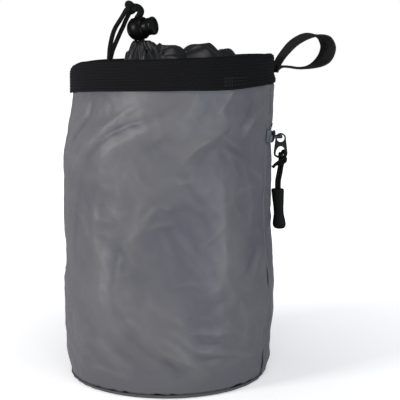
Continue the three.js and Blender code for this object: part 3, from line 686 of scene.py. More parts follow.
def make_weave_group():
    """Plain weave of threads across and along the vector's X and Y."""
    group, given, result = new_group(
        "plain_weave",
        [("Vector", "NodeSocketVector"), ("Across", "NodeSocketFloat"), ("Along", "NodeSocketFloat")],
        ["Height", "Gap"],
    )
    parts = add_node(group, "ShaderNodeSeparateXYZ", {0: given["Vector"]}).outputs
    x = calculate(group, "MULTIPLY", parts[0], given["Across"])
    y = calculate(group, "MULTIPLY", parts[1], given["Along"])
    humps = []
    for value in (x, y):
        part = calculate(group, "MULTIPLY", calculate(group, "FRACT", value), math.pi)
        humps.append(calculate(group, "SINE", part))
    steps = calculate(group, "ADD", calculate(group, "FLOOR", x), calculate(group, "FLOOR", y))
    turn = calculate(group, "MODULO", calculate(group, "ABSOLUTE", steps), 2.0)
    over = calculate(group, "MULTIPLY", humps[0], rescale(group, humps[1], 0.5, 1.0))
    under = calculate(group, "MULTIPLY", humps[1], rescale(group, humps[0], 0.5, 1.0))
    height = blend_values(group, turn, over, under)
    group.links.new(height, result["Height"])
    high = calculate(group, "MAXIMUM", humps[0], humps[1])
    group.links.new(calculate(group, "SUBTRACT", 1.0, high), result["Gap"])
    return group


def make_mottle_group():
    """Broad and fine unevenness of a surface at a scale in patches a metre."""
    group, given, result = new_group(
        "mottle",
        [("Vector", "NodeSocketVector"), ("Scale", "NodeSocketFloat")],
        ["Broad", "Fine"],
    )
    broad = add_node(group, "ShaderNodeTexNoise",
                     {"Vector": given["Vector"], "Scale": given["Scale"], "Detail": 3.0})
    finer = calculate(group, "MULTIPLY", given["Scale"], 9.0)
    fine = add_node(group, "ShaderNodeTexNoise",
                    {"Vector": given["Vector"], "Scale": finer, "Detail": 4.0})
    group.links.new(broad.outputs[0], result["Broad"])
    group.links.new(fine.outputs[0], result["Fine"])
    return group


WEAVE = make_weave_group()
MOTTLE = make_mottle_group()


def use_group(tree, group, inputs):
    return add_node(tree, "ShaderNodeGroup", inputs, node_tree=group).outputs


def coordinates(tree, kind):
    return tree.nodes.new("ShaderNodeTexCoord").outputs[kind]


def bump(tree, height, distance, under=None):
    made = add_node(tree, "ShaderNodeBump", {"Height": height, "Distance": distance, "Strength": 1.0})
    if under is not None:
        tree.links.new(under, made.inputs["Normal"])
    return made.outputs[0]


def finish_surface(tree, shader, colour, roughness, normal, values):
    tree.links.new(colour, shader.inputs["Base Color"])
    tree.links.new(roughness, shader.inputs["Roughness"])
    tree.links.new(normal, shader.inputs["Normal"])
    for name, value in values.items():
        shader.inputs[name.replace("_", " ")].default_value = value


# How much of a cloth's colour is painted shading that follows its creases and folds, and how dark the
# painted shade in the gaps of a weave is
PAINTED_SHADE_SHARE = 0.68
GAP_SHADE = 0.55


def grey(value, blue=1.0):
    return (value, value, value * blue, 1.0)


def woven_material(name, dark, light, threads, rough, weave_depth, crumple, scale=26.0, paints_ridge_shade=False,
                   **values):
    """Cloth: a weave that follows the UV map, uneven colour, and crumples too fine to model. When asked
    for, its colour also carries painted shading from an attribute: lighter ridges, darker hollows."""
    material, tree, shader = new_material(name)
    place = coordinates(tree, "Object")
    weave = use_group(tree, WEAVE, {"Vector": coordinates(tree, "UV"), "Across": threads[0],
                                    "Along": threads[1]})
    mottle = use_group(tree, MOTTLE, {"Vector": place, "Scale": scale})
    share = rescale(tree, mottle["Broad"], 0.1, 0.9)
    if paints_ridge_shade:
        # Painted shading: the attribute makes the cloth lighter on its ridges and darker and bluer in its
        # hollows.
        painted_ridge_shade = tree.nodes.new("ShaderNodeAttribute")
        painted_ridge_shade.attribute_name = "painted_ridge_shade"
        share = blend_values(tree, PAINTED_SHADE_SHARE, share, painted_ridge_shade.outputs["Fac"])
    colour = blend_colours(tree, share, dark, light)
    # Painted shade: the gaps between the weave's threads are darkened.
    shade = tuple(GAP_SHADE * part for part in dark[:3]) + (1.0,)
    colour = blend_colours(tree, calculate(tree, "MULTIPLY", weave["Gap"], GAP_SHADE), colour, shade)
    creased = bump(tree, mottle["Fine"], crumple)
    normal = bump(tree, weave["Height"], weave_depth, under=creased)
    roughness = rescale(tree, mottle["Broad"], rough - 0.06, rough + 0.08)
    finish_surface(tree, shader, colour, roughness, normal, values)
    return material


def cord_material(name, dark, light, strands, crossings):
    """Braided cord: threads that cross on the slant round it."""
    material, tree, shader = new_material(name)
    parts = add_node(tree, "ShaderNodeSeparateXYZ", {0: coordinates(tree, "UV")}).outputs
    around = calculate(tree, "MULTIPLY", parts[0], float(strands))
    along = calculate(tree, "MULTIPLY", parts[1], float(crossings))
    slants = add_node(tree, "ShaderNodeCombineXYZ", {
        0: calculate(tree, "ADD", around, along),
        1: calculate(tree, "SUBTRACT", around, along),
    }).outputs[0]
    weave = use_group(tree, WEAVE, {"Vector": slants, "Across": 1.0, "Along": 1.0})
    mottle = use_group(tree, MOTTLE, {"Vector": coordinates(tree, "Object"), "Scale": 220.0})
    # Colour follows thread height: painted shade in the hollows between threads and a painted highlight
    # on their tops.
    colour = blend_colours(tree, weave["Height"], dark, light)
    normal = bump(tree, weave["Height"], 0.16 * MM)
    roughness = rescale(tree, mottle["Broad"], 0.62, 0.85)
    finish_surface(tree, shader, colour, roughness, normal, {"Specular IOR Level": 0.12})
    return material


def moulded_material(name, dark, light, rough, grain, scale, **values):
    """Moulded or lacquered surface: a fine grain and slightly uneven gloss."""
    material, tree, shader = new_material(name)
    mottle = use_group(tree, MOTTLE, {"Vector": coordinates(tree, "Object"), "Scale": scale})
    colour = blend_colours(tree, mottle["Broad"], dark, light)
    normal = bump(tree, mottle["Fine"], grain)
    roughness = rescale(tree, mottle["Broad"], rough - 0.07, rough + 0.1)
    finish_surface(tree, shader, colour, roughness, normal, values)
    return material


# Its dark, bluish end serves as painted shade in hollows and its light end as a painted highlight on
# ridges, mixed with random tone.
BODY_CLOTH = woven_material(
    "grey_coated_nylon", (0.088, 0.089, 0.108, 1), (0.150, 0.146, 0.151, 1), (2300.0, 2300.0),
    0.48, 0.012 * MM, 0.25 * MM, paints_ridge_shade=True, Specular_IOR_Level=0.35, Sheen_Weight=0.06,
    Sheen_Roughness=0.4,
)
# The body's grey nylon, darkened as painted shade for the base, which lies under the bag.
SHADED_BASE_CLOTH = woven_material(
    "grey_nylon_with_painted_base_shade", (0.07, 0.071, 0.08, 1), (0.095, 0.095, 0.104, 1), (2300.0, 2300.0),
    0.55, 0.012 * MM, 0.2 * MM, Specular_IOR_Level=0.3,
)
COLLAR_CLOTH = woven_material(
    "black_thin_nylon", (0.0025, 0.0025, 0.003, 1), (0.006, 0.0058, 0.0072, 1), (2800.0, 2800.0),
    0.36, 0.01 * MM, 0.1 * MM, scale=60.0, Specular_IOR_Level=0.52,
)
WEBBING = woven_material(
    "black_webbing", grey(0.005, 1.1), grey(0.0085, 1.15), (1250.0, 1180.0),
    0.62, 0.16 * MM, 0.1 * MM, scale=90.0, Specular_IOR_Level=0.08,
)
LOOP_WEBBING = woven_material(
    "black_loop_webbing", grey(0.008), grey(0.015, 1.03), (1050.0, 1250.0),
    0.6, 0.15 * MM, 0.1 * MM, scale=90.0, Specular_IOR_Level=0.18,
)
ZIP_TAPE = woven_material(
    "blue_grey_tape", (0.05, 0.068, 0.085, 1), (0.09, 0.115, 0.14, 1), (1500.0, 1500.0),
    0.6, 0.06 * MM, 0.08 * MM, scale=120.0, Sheen_Weight=0.2, Sheen_Roughness=0.5,
)
DRAWCORD = cord_material("black_braid", grey(0.003), grey(0.010), 8, 900)
PULL_BRAID = cord_material("black_fine_braid", grey(0.003), grey(0.009), 6, 1300)
LOCK_PLASTIC = moulded_material(
    "black_moulded_nylon", grey(0.002), grey(0.0035, 1.06), 0.34, 0.003 * MM, 260.0,
    Specular_IOR_Level=0.13,
)
GRIP_RUBBER = moulded_material(
    "black_soft_rubber", grey(0.003), grey(0.005), 0.5, 0.03 * MM, 320.0,
    Specular_IOR_Level=0.1,
)
ZIP_METAL = moulded_material(
    "black_lacquer", grey(0.006), grey(0.011), 0.3, 0.012 * MM, 300.0,
    Specular_IOR_Level=0.4,
)
COIL_NYLON = moulded_material(
    "blue_grey_coil", (0.1, 0.13, 0.155, 1), (0.16, 0.2, 0.23, 1), 0.42, 0.02 * MM, 500.0,
)
GREY_THREAD = moulded_material(
    "grey_thread", (0.085, 0.085, 0.095, 1), (0.12, 0.12, 0.135, 1), 0.6, 0.05 * MM, 900.0,
)
TACK_THREAD = moulded_material(
    "dark_tack_thread", grey(0.02), grey(0.034), 0.55, 0.05 * MM, 900.0, Specular_IOR_Level=0.2,
)
BLACK_THREAD = moulded_material(
    "black_thread", grey(0.006), grey(0.011), 0.6, 0.05 * MM, 900.0, Specular_IOR_Level=0.12,
)


# Drawcord, its knot and its lock

bore_axis = Vector((math.sin(LOCK_LEAN), 0, math.cos(LOCK_LEAN)))
button_axis = Vector((math.cos(LOCK_TURN), math.sin(LOCK_TURN), 0))
button_axis = (button_axis - bore_axis * button_axis.dot(bore_axis)).normalized()
strand_axis = bore_axis.cross(button_axis)
lock_axes = Matrix((button_axis, strand_axis, bore_axis)).transposed().to_4x4()
lock_frame = Matrix.Translation(LOCK_PLACE) @ lock_axes
neck_place = LOCK_PLACE - bore_axis * (LOCK_RADIUS + LAYER_GAP)

# The overhand knot's lump, and the two strands that leave it for the lock, in millimetres
KNOT_MIDDLE = Vector((-20.5, -18, 224.7)) * MM
KNOT_HALF = Vector((4.6, 3.6, 3.6)) * MM
KNOT_LEAN = math.radians(24)
KNOT_TAILS = [
    [(-19.5, -17.3, 226.2), (-17.2, -16.7, 226.1), (-15.2, -16.5, 224.9), (-14.3, -16.5, 222.9),
     (-15.0, -16.6, 220.8), (-16.6, -16.6, 219.4), (-17.2, -16.6, 217.6)],
    [(-20.0, -19.0, 224.6), (-17.9, -19.6, 224.9), (-16.2, -19.6, 224.0), (-15.7, -19.5, 222.4),
     (-16.2, -19.4, 220.8), (-17.3, -19.3, 219.2), (-17.8, -19.2, 217.5)],
]


def joined_cords(name, material, tubes):
    """Several cord tubes as one piece."""
    bm = bmesh.new()
    for tube in tubes:
        mesh = bpy.data.meshes.new("tube")
        tube.to_mesh(mesh)
        tube.free()
        bm.from_mesh(mesh)
        bpy.data.meshes.remove(mesh)
    return object_of(name, bm, material)


def make_knot():
    """An overhand knot, pulled tight, with the strands that it ties together."""
    turns = np.linspace(0.3, TAU - 0.3, 120) + math.pi / 2
    raw = np.stack((
        np.sin(turns) + 2 * np.sin(2 * turns),
        -np.sin(3 * turns) * 1.2,
        np.cos(turns) - 2 * np.cos(2 * turns),
    ), -1)
    raw -= (raw.max(0) + raw.min(0)) / 2
    room = np.array(KNOT_HALF) - CORD_RADIUS
    lump = Matrix.Translation(KNOT_MIDDLE) @ Matrix.Rotation(KNOT_LEAN, 4, "Y")
    route = np.array([lump @ Vector(spot) for spot in raw / np.abs(raw).max(0) * room])
    tubes = [cord_tube(smooth_route(route[::4], 110), CORD_RADIUS * 1.12, 16)]
    for tail in KNOT_TAILS:
        tubes.append(cord_tube(smooth_route(np.array(tail) * MM, 50), CORD_RADIUS, 16))
    return settle(joined_cords("drawcord_knot", DRAWCORD, tubes), "bag", "cord", "cord_knot")


def make_cord_loop():
    route = smooth_route(np.array(CORD_LOOP_ROUTE) * MM, 150)
    bm = cord_tube(route, CORD_RADIUS, 16)
    piece = settle(object_of("drawcord_bight", bm, DRAWCORD), "bag", "cord", "cord_loop")
    return piece


def make_strands():
    """The two strands through the lock, from the collar's neck up to the knot."""
    low = -LOCK_RADIUS - 4.5 * MM
    high = LOCK_RADIUS - 0.87 * MM
    for name, side in (("front", -1), ("back", 1)):
        aside = side * (CORD_RADIUS + 0.08 * MM)
        ups = [low + (high - low) * share for share in (0, 0.3, 0.7, 1)]
        points = [lock_frame @ Vector((0, aside, up)) for up in ups]
        bm = cord_tube(smooth_route(points, 24), CORD_RADIUS, 14)
        piece = object_of(f"drawcord_strand_{name}", bm, DRAWCORD)
        settle(piece, "bag", "cord", f"cord_strand_{name}")


def make_lock():
    """The ball of the lock, open at one side for the button and bored for the strands."""
    recess = BUTTON_RADIUS + 0.15 * MM
    bore_radius = 3.25 * MM
    lip = math.asin(LOCK_LIP_AT / LOCK_RADIUS)
    profile = [(-LOCK_RADIUS * math.cos(a), LOCK_RADIUS * math.sin(a))
               for a in np.linspace(0, math.pi / 2 + lip, 28)]
    last = profile[-1][1]
    profile += [(LOCK_LIP_AT + 0.15 * MM, last - 0.25 * MM), (LOCK_LIP_AT + 0.15 * MM, recess + 0.2 * MM),
                (LOCK_LIP_AT - 0.1 * MM, recess), (-4.3 * MM, recess), (-4.3 * MM, 0)]
    bm = turned_piece(profile, 56)
    bm.transform(lock_frame)
    barrel = object_of("lock_ball", bm, LOCK_PLASTIC)
    bore = bmesh.new()
    bmesh.ops.create_cone(bore, cap_ends=True, segments=32, radius1=bore_radius, radius2=bore_radius,
                          depth=LOCK_RADIUS * 3, matrix=lock_frame)
    cut_away(barrel, [object_of("bore_cutter", bore, LOCK_PLASTIC)])
    settle(barrel, "bag", "lock_plastic", "cord_lock_barrel")


# The slot through the button's stem for the strands: along and across it, and from its middle
SLOT_LONG = 7.4 * MM
SLOT_WIDE = 6.31 * MM
SLOT_SHIFT = -1.85 * MM + 1.7 * MM


def make_button():
    """The push button: a round cap with a raised rim round its dished end."""
    end = BUTTON_REACH
    wide = BUTTON_RADIUS
    ring = wide + 0.3 * MM
    profile = [
        (-2.0 * MM, 0), (-2.0 * MM, wide - 0.2 * MM), (-1.8 * MM, wide), (4.0 * MM, wide),
        (6.2 * MM, wide), (7.9 * MM, wide - 0.05 * MM), (8.1 * MM, wide - 0.3 * MM),
        (8.4 * MM, wide - 0.3 * MM), (8.6 * MM, ring - 0.1 * MM), (8.9 * MM, ring),
        (end - 0.7 * MM, ring), (end - 0.3 * MM, ring - 0.14 * MM), (end - 0.05 * MM, ring - 0.45 * MM),
        (end, ring - 0.9 * MM), (end - 0.1 * MM, ring - 1.3 * MM), (end - 0.45 * MM, ring - 1.6 * MM),
        (end - 0.75 * MM, wide * 0.35), (end - 0.85 * MM, 0),
    ]
    bm = turned_piece(profile, 48)
    bm.transform(lock_frame)
    button = object_of("lock_button_cap", bm, LOCK_PLASTIC)
    slot = bmesh.new()
    slot_frame = Matrix.Translation((SLOT_SHIFT, 0, 0))
    size = Matrix.Diagonal((SLOT_LONG, SLOT_WIDE, wide * 3, 1))
    bmesh.ops.create_cube(slot, size=1, matrix=lock_frame @ slot_frame @ size)
    cut_away(button, [object_of("slot_cutter", slot, LOCK_PLASTIC)])
    settle(button, "lock_button", "lock_plastic", "cord_lock_button")


drawcord_knot = make_knot()
make_cord_loop()
make_strands()
make_lock()
make_button()


# Body of the bag

WALL_LOW = 2.6 * MM
RIM_WALL_TOP = BODY_HEIGHT - BAND_WALL - LAYER_GAP


def seam_tuck(turn, height):
    """How the wall's lower edge tucks in and puckers where it is sewn to the base."""
    near = np.exp(-((height - WALL_LOW) / (2.2 * MM)))
    ripple = 0.12 * np.sin(turn * 61) + 0.1 * np.sin(turn * 97 + 1.3)
    lift = np.zeros_like(height)
    for pucker in SEAM_PUCKERS:
        aside = turn_from(math.radians(pucker.turn), turn) / math.radians(pucker.reach)
        lift += pucker.lift * MM * np.exp(-aside ** 2)
    return (-0.55 + ripple) * MM * near, lift * near


# Unevenness of the body's cloth: height in millimetres, size across and seed
Relief = namedtuple("Relief", "height pitch seed")
WAVES = Relief(1.5, 32 * MM, 7)
BROAD_CREASES = Relief(-1.5, 24 * MM, 3)
SMALL_CREASES = Relief(-0.8, 10 * MM, 5)
DIMPLES = Relief(0.2, 5 * MM, 6)
RELIEF_LEVEL = 0.5
# Shares of creases and folds in the painted shading, and the millimetres from its hollows to its ridges
PAINTED_SHADE_CREASES = 0.9
PAINTED_SHADE_FOLDS = 0.25
PAINTED_SHADE_RANGE = 2.3


def relief_noise(row, places):
    return noise_at(places, row.pitch, row.seed)


def cloth_relief(turn, height, depth):
    """Creases and unevenness of the body's cloth, in millimetres."""
    plain = on_wall(turn, height, depth)
    slanted = plain + np.stack((plain[:, 2] * 0.5, 0 * plain[:, 2], -plain[:, 2] * 0.3), -1)
    uneven = RELIEF_LEVEL + WAVES.height * relief_noise(WAVES, plain * (1, 1, 0.6))
    for row in (BROAD_CREASES, SMALL_CREASES):
        uneven = uneven + row.height * np.abs(relief_noise(row, slanted))
    uneven = uneven + DIMPLES.height * relief_noise(DIMPLES, plain)
    return crease_lift(turn, height) / MM + uneven * smooth_step(WALL_LOW, 20 * MM, height)


def cloth_face(turn, height, depth):
    """The body's cloth with all its folds and creases, as places."""
    tuck, lift = seam_tuck(turn, height)
    rim_fade = 1 - smooth_step(BAND_BOTTOM - 2 * MM, BAND_BOTTOM + 1 * MM, height)
    fine = cloth_relief(turn, height, depth) * MM * rim_fade
    return on_wall(turn, height + lift, depth + tuck + fine)


def painted_cloth_shade(turn, height):
    """How far the cloth stands out of its surroundings: 0 in a hollow and 1 on a ridge. It is used as
    painted shading, lighter on ridges and darker in hollows.
    """
    creases = PAINTED_SHADE_CREASES * crease_lift(turn, height) + PAINTED_SHADE_FOLDS * fold_lift(turn, height)
    stand = cloth_relief(turn, height, 0.0) + creases / MM
    return np.clip(0.5 + stand / PAINTED_SHADE_RANGE, 0, 1)


def zip_line(turn):
    """The height of the zip, which climbs a little towards its front end."""
    return ZIP_HEIGHT + 2.2 * MM * np.clip(turn / POCKET_START, 0, 1)


def make_side_wall():
    tall = RIM_WALL_TOP - WALL_LOW
    bm = grid_piece(
        300, 150,
        lambda s, t: cloth_face((s - 0.5) * TAU, WALL_LOW + t * tall, 0.0),
        BODY_ROUND, BODY_HEIGHT,
        # Painted shading of the cloth, from its ridges and hollows
        lambda s, t: painted_cloth_shade((s - 0.5) * TAU, WALL_LOW + t * tall),
    )
    piece = sheet_piece("body_wall", bm, BODY_CLOTH, CLOTH_WALL, "bag", "body_cloth", "side_wall")


# Heights at which the pocket's edges stand off the wall, and how far above and below
POCKET_GAPES = [(64 * MM, 7 * MM), (9 * MM, 8 * MM)]


def make_pocket():
    """The outer cloth of the back pocket, below and above its zip, with folded edges."""
    spans = (
        ("pocket_cloth", "pocket_panel", WALL_LOW, ZIP_HEIGHT - ZIP_OPENING / 2, 96),
        ("pocket_top_cloth", "pocket_top", ZIP_HEIGHT + ZIP_OPENING / 2, BAND_BOTTOM - LAYER_GAP, 30),
    )
    for name, node, low, high, rows in spans:
        def place(s, t, low=low, high=high):
            turn = POCKET_START + s * POCKET_SPAN
            climb = zip_line(turn) - ZIP_HEIGHT
            at_zip = t if low == WALL_LOW else 1 - t
            height = low + t * (high - low) + climb * at_zip
            from_side = np.minimum(s, 1 - s) * POCKET_SPAN * BODY_RADIUS
            stands = sum(np.exp(-(((height - at) / reach) ** 2)) for at, reach in POCKET_GAPES)
            roll = (1.45 - 1.25 * np.minimum(stands, 1)) * MM * np.exp(-from_side / (3.2 * MM))
            corner = np.exp(-((turn / 0.22) ** 2) - ((height - 10 * MM) / (3.5 * MM)) ** 2)
            return cloth_face(turn, height, POCKET_FACE - roll + 1.3 * MM * corner)

        # Painted shading of the pocket's cloth, from its ridges and hollows
        def painted_ridge_shade(s, t, low=low, high=high):
            return painted_cloth_shade(POCKET_START + s * POCKET_SPAN, low + t * (high - low))

        flat = (POCKET_SPAN * BODY_RADIUS, high - low)
        bm = grid_piece(170, rows, place, *flat, painted_ridge_shade)
        piece = sheet_piece(name, bm, BODY_CLOTH, CLOTH_WALL, "bag", "body_cloth", node)


def make_base():
    """The round base: flat on the floor, turned up to the seam."""
    seam_radius = float(wall_radius(WALL_LOW))
    shift = float(wall_shift(WALL_LOW))
    rounds = smooth_line([0, 0.72, 0.8, 0.9, 1.0], [0, BASE_FLAT_RADIUS, seam_radius - 1.3 * MM,
                                                    seam_radius - 0.3 * MM, seam_radius - 0.1 * MM])
    ups = smooth_line([0, 0.7, 0.8, 0.9, 1.0], [0, 0, 0.4 * MM, 1.1 * MM, WALL_LOW - 0.3 * MM])

    def place(s, t):
        turn = (s - 0.5) * TAU
        radius = rounds(t)
        height = np.maximum(ups(t), 0)
        edge = smooth_step(0.76, 1.0, t)
        ripple = 0.22 * MM * np.sin(turn * 37 + 2 * np.sin(turn * 5)) * edge * (1 - edge) * 4
        spots = np.stack((radius * np.cos(turn), radius * np.sin(turn), height), -1)
        uneven = 0.5 * MM * noise_at(spots, 16 * MM, 9) * edge * (1 - edge) * 4
        radius = radius + ripple + uneven
        return np.stack((shift * edge + radius * np.cos(turn), radius * np.sin(turn), height), -1)

    bm = grid_piece(220, 44, place, BODY_ROUND, BODY_RADIUS)
    piece = sheet_piece("base_cloth", bm, SHADED_BASE_CLOTH, CLOTH_WALL, "bag", "body_cloth", "base_panel")


make_side_wall()
make_pocket()
make_base()


# Rim binding

RIB_PITCH = 1.72 * MM
RIB_DEPTH = 0.34 * MM
# The stretch of the band's lower edge that hangs low, and how far
BAND_HANG_TURN = math.radians(-58)
BAND_HANG = 1.5 * MM
# How far the band stands out over the zip's front end
BAND_BULGE = 1.1 * MM


def make_rim_band():
    """One webbing folded over the rim, ribbed along its length."""
    inner = -CLOTH_WALL - LAYER_GAP - BAND_WALL
    bend = (BAND_FACE - inner) / 2
    middle = (BAND_FACE + inner) / 2
    lengths = (BAND_HEIGHT - bend, math.pi * bend, BAND_INNER_HEIGHT - bend)
    total = sum(lengths)

    def place(s, t):
        turn = (s - 0.5) * TAU
        way = t * total
        over = np.clip((way - lengths[0]) / lengths[1], 0, 1) * math.pi
        sunk = np.maximum(way - lengths[0] - lengths[1], 0)
        rib = np.abs(np.sin(math.pi * way / RIB_PITCH)) ** 0.7
        round_x, round_y = np.cos(turn), np.sin(turn)
        wave = noise_at(np.stack((round_x, round_y, way * 12), -1), 0.3, 12)
        lift = RIB_DEPTH * (rib - 1) + 0.3 * MM * wave
        depth = middle + (bend + lift) * np.cos(over)
        down = bend - np.minimum(way - lengths[0], 0) + sunk - (bend + lift) * np.sin(over)
        down = down + 0.3 * MM * noise_at(np.stack((round_x, round_y, 0 * turn), -1), 0.3, 31)
        hang = np.exp(-(((turn - BAND_HANG_TURN) / 0.46) ** 2)) * np.clip(down / BAND_HEIGHT, 0, 1) ** 2
        down = down + BAND_HANG * hang * (over < 0.1)
        bulge = np.exp(-((turn / 0.4) ** 2) - ((down - 15.6 * MM) / (2.4 * MM)) ** 2) * (over < 0.1)
        return on_wall(turn, BODY_HEIGHT - down, depth + BAND_BULGE * bulge)

    bm = grid_piece(288, 120, place, BODY_ROUND, total)
    sheet_piece("rim_binding", bm, WEBBING, BAND_WALL * 0.9, "bag", "webbing", "rim_band")


make_rim_band()


# Collar

hem_depth = -CLOTH_WALL - BAND_WALL - 2 * LAYER_GAP
collar_floor = BODY_HEIGHT - COLLAR_SINK


def crumple_lift(x, y):
    lift = np.zeros_like(x)
    for row in COLLAR_CRUMPLES:
        lean = math.radians(row.lean)
        aside = x - row.x * BODY_RADIUS
        back = y - row.y * BODY_RADIUS
        along = aside * math.cos(lean) + back * math.sin(lean)
        across = back * math.cos(lean) - aside * math.sin(lean)
        fall = (along / (row.reach * BODY_RADIUS)) ** 2 + (across / (row.spread * BODY_RADIUS)) ** 2
        lift = np.maximum(lift, row.stand * COLLAR_RISE * np.exp(-(fall ** 1.5)))
    return lift


# Deep pleats round the collar's neck: their turns in degrees, half width in radians, and depth
BELL_GAPS = [-139, -104, -76, -48, -8, 35, 75, 118, 165]
BELL_GAP_REACH = 0.13
BELL_GAP_DEPTH = 0.24


def make_collar():
    """Thin cloth gathered from the rim to a neck under the lock."""
    turn_up = 0.06

    def place(s, t):
        turn = (s - 0.5) * TAU
        round_x, round_y = np.cos(turn), np.sin(turn)
        along = 1 - (1 - t) ** 1.3
        sink = COLLAR_HEM + (COLLAR_SINK - COLLAR_HEM) * np.minimum(along / turn_up, 1)
        edge = on_wall(turn, BODY_HEIGHT - sink, hem_depth)
        inward = np.clip((along - turn_up) / (1 - turn_up), 0, 1)
        swirl = turn + 0.35 * inward * (1 - inward) * np.sin(turn * 2 + 1)
        neck = 1 + 0.13 * np.sin(turn * 15 + 2 * np.sin(turn * 3))
        x = edge[:, 0] + (neck_place.x + NECK_RADIUS * neck * np.cos(swirl) - edge[:, 0]) * inward
        y = edge[:, 1] + (neck_place.y + NECK_RADIUS * neck * np.sin(swirl) - edge[:, 1]) * inward
        from_neck = np.maximum(0, np.hypot(x - neck_place.x, y - neck_place.y) - NECK_RADIUS)
        about = np.stack((round_x * 9 * MM, round_y * 9 * MM, from_neck * 1.6), -1)
        knobs = 1 - 3.2 * np.abs(noise_at(about, 5.2 * MM, 44))
        small = noise_at(about, 2.4 * MM, 45)
        puff = 1 + (0.14 * knobs + 0.08 * small) * smooth_step(0, 3 * MM, from_neck)
        asides = [turn_from(math.radians(gap), turn) / BELL_GAP_REACH for gap in BELL_GAPS]
        pleats = sum(np.exp(-(aside ** 2)) for aside in asides)
        puff = puff - BELL_GAP_DEPTH * pleats * smooth_step(0, 2.5 * MM, from_neck)
        bell = np.exp(-((from_neck / (BELL_REACH * puff)) ** 2.8))
        bell = bell * (1 - 0.11 * smooth_step(0.2 * MM, 3.2 * MM, from_neck))
        rim_ease = smooth_step(0, 0.25, inward)
        rise = RIM_RISE * round_x * (1 - inward)
        flat = np.stack((x, y, 0 * x), -1)
        warp = noise_at(flat, 20 * MM, 21)
        gather = np.sin(turn * 24 + 5 * warp + 2.5 * np.sin(turn * 3))
        near = smooth_step(0.35, 0.95, inward)
        gathers = (0.3 + 0.35 * near) * gather * rim_ease + 2 * knobs * near * bell * (1 - bell)
        spokes = np.stack((round_x * 2.2, round_y * 2.2, from_neck / (38 * MM)), -1)
        broad = noise_at(spokes, 0.42, 8)
        ridge = 1 - 2 * np.abs(broad)
        folds = (1.7 * ridge - 1.6) * rim_ease * (1 - bell)
        crumple = crumple_lift(x, y) * rim_ease * (1 - bell)
        neck_rise = (neck_place.z - collar_floor) * bell
        z = collar_floor + rise + crumple + neck_rise + (gathers + folds) * MM
        return np.stack((x, y, z), -1)

    bm = grid_piece(320, 84, place, BODY_ROUND, 60 * MM)
    piece = sheet_piece("collar_cloth", bm, COLLAR_CLOTH, 0.6 * MM, "bag", "collar_cloth", "collar")


make_collar()


# Carry loop

def carry_loop_middle(steps):
    outward = Vector((math.cos(LOOP_TURN), math.sin(LOOP_TURN), 0))
    face = BAND_FACE + LOOP_WALL / 2 + LAYER_GAP
    points = []
    for row in CARRY_LOOP_ROUTE:
        height = BODY_HEIGHT - LOOP_ROOT + row.up * LOOP_TALL
        out = row.layer * (LOOP_WALL + LAYER_GAP) + row.out * LOOP_REACH
        spot = Vector(on_wall(LOOP_TURN, height, face).ravel())
        points.append(spot + outward * out)
    return smooth_route(points, steps)


def make_carry_loop():
    steps = 220
    middle = carry_loop_middle(steps)
    tangents = unit_rows(np.gradient(middle, axis=0))
    share = np.linspace(0, 1, steps + 1)
    root = np.array((math.sin(LOOP_TURN), -math.cos(LOOP_TURN), 0))
    width = root + (np.array(LOOP_FAR_WIDTH) - root) * smooth_step(0.04, 0.45, share)[:, None]
    width += (np.array(LOOP_UNDER_WIDTH) - width) * smooth_step(0.64, 0.84, share)[:, None]
    width += (root - width) * smooth_step(0.92, 1.0, share)[:, None]
    width = unit_rows(width - tangents * (width * tangents).sum(1)[:, None])
    face = np.cross(tangents, width)

    def place(s, t):
        i = np.rint(t * steps).astype(int)
        aside = s - 0.5
        edge = np.abs(aside) * 2
        rib = 0.09 * MM * np.abs(np.sin(s * math.pi * 8)) - 0.25 * MM * np.clip(edge - 0.9, 0, 1) * 10
        out = rib + LOOP_WALL / 2
        return middle[i] + width[i] * (aside * LOOP_WIDTH)[:, None] + face[i] * out[:, None]

    bm = grid_piece(40, steps, place, LOOP_WIDTH, route_length(middle))
    sheet_piece("carry_loop_webbing", bm, LOOP_WEBBING, LOOP_WALL * 0.95, "bag", "webbing", "carry_loop")


make_carry_loop()


# Zip, its slider and its pull

def make_zip():
    """The tape and the closed coil, whose turns lock one over the other."""
    edge = ZIP_OPENING / 2 - LAYER_GAP

    def place(s, t):
        turn = POCKET_START + s * POCKET_SPAN
        swell = 0.45 * MM * np.exp(-((turn / 0.12) ** 4))
        return on_wall(turn, zip_line(turn) + (2 * t - 1) * edge, LAYER_GAP + TAPE_WALL + swell)

    bm = grid_piece(170, 8, place, POCKET_SPAN * BODY_RADIUS, 2 * edge)
    sheet_piece("zip_tape_cloth", bm, ZIP_TAPE, TAPE_WALL, "bag", "zip_tape", "zip_tape")

    turns = []
    first = -math.radians(13)
    pitch = 0.62 * MM / BODY_RADIUS
    count = int((POCKET_END - math.radians(1) - first) / pitch)
    for i in range(count):
        turn = first + i * pitch
        from_slider = abs(turn) * BODY_RADIUS
        if from_slider < 0.7 * SLIDER_HALF_LENGTH:
            continue
        side = 1 if i % 2 else -1
        pressed = 0.3 * MM * (from_slider < SLIDER_HALF_LENGTH)
        depth = 2 * LAYER_GAP + TAPE_WALL + 0.42 * MM - pressed
        spot = Vector(on_wall(turn, ZIP_HEIGHT + side * 0.35 * MM, depth).ravel())
        stand = Matrix.Translation(spot) @ Matrix.Rotation(turn, 4, "Z")
        size = Matrix.Diagonal((0.42 * MM, 0.3 * MM, COIL_WIDTH * 0.42, 1))
        turns.append(stand @ size)
    settle(beads("zip_coil_turns", COIL_NYLON, turns, 8, 6), "bag", "zip_tape", "zip_coil")


# Rails and post that join the slider's plate to the coil, in millimetres: out and up from a place
# behind the bridge, then depth, width and height
RAILS_PLACE = SWING_PLACE - Vector((5.7, 0, 0)) * MM
SLIDER_PARTS = [
    (0.45, 3.0, 2.0, 7.2, 0.9),
    (-0.1, -3.0, 1.1, 7.6, 0.9),
    (0.1, 0.0, 1.5, 4.6, 5.4),
]


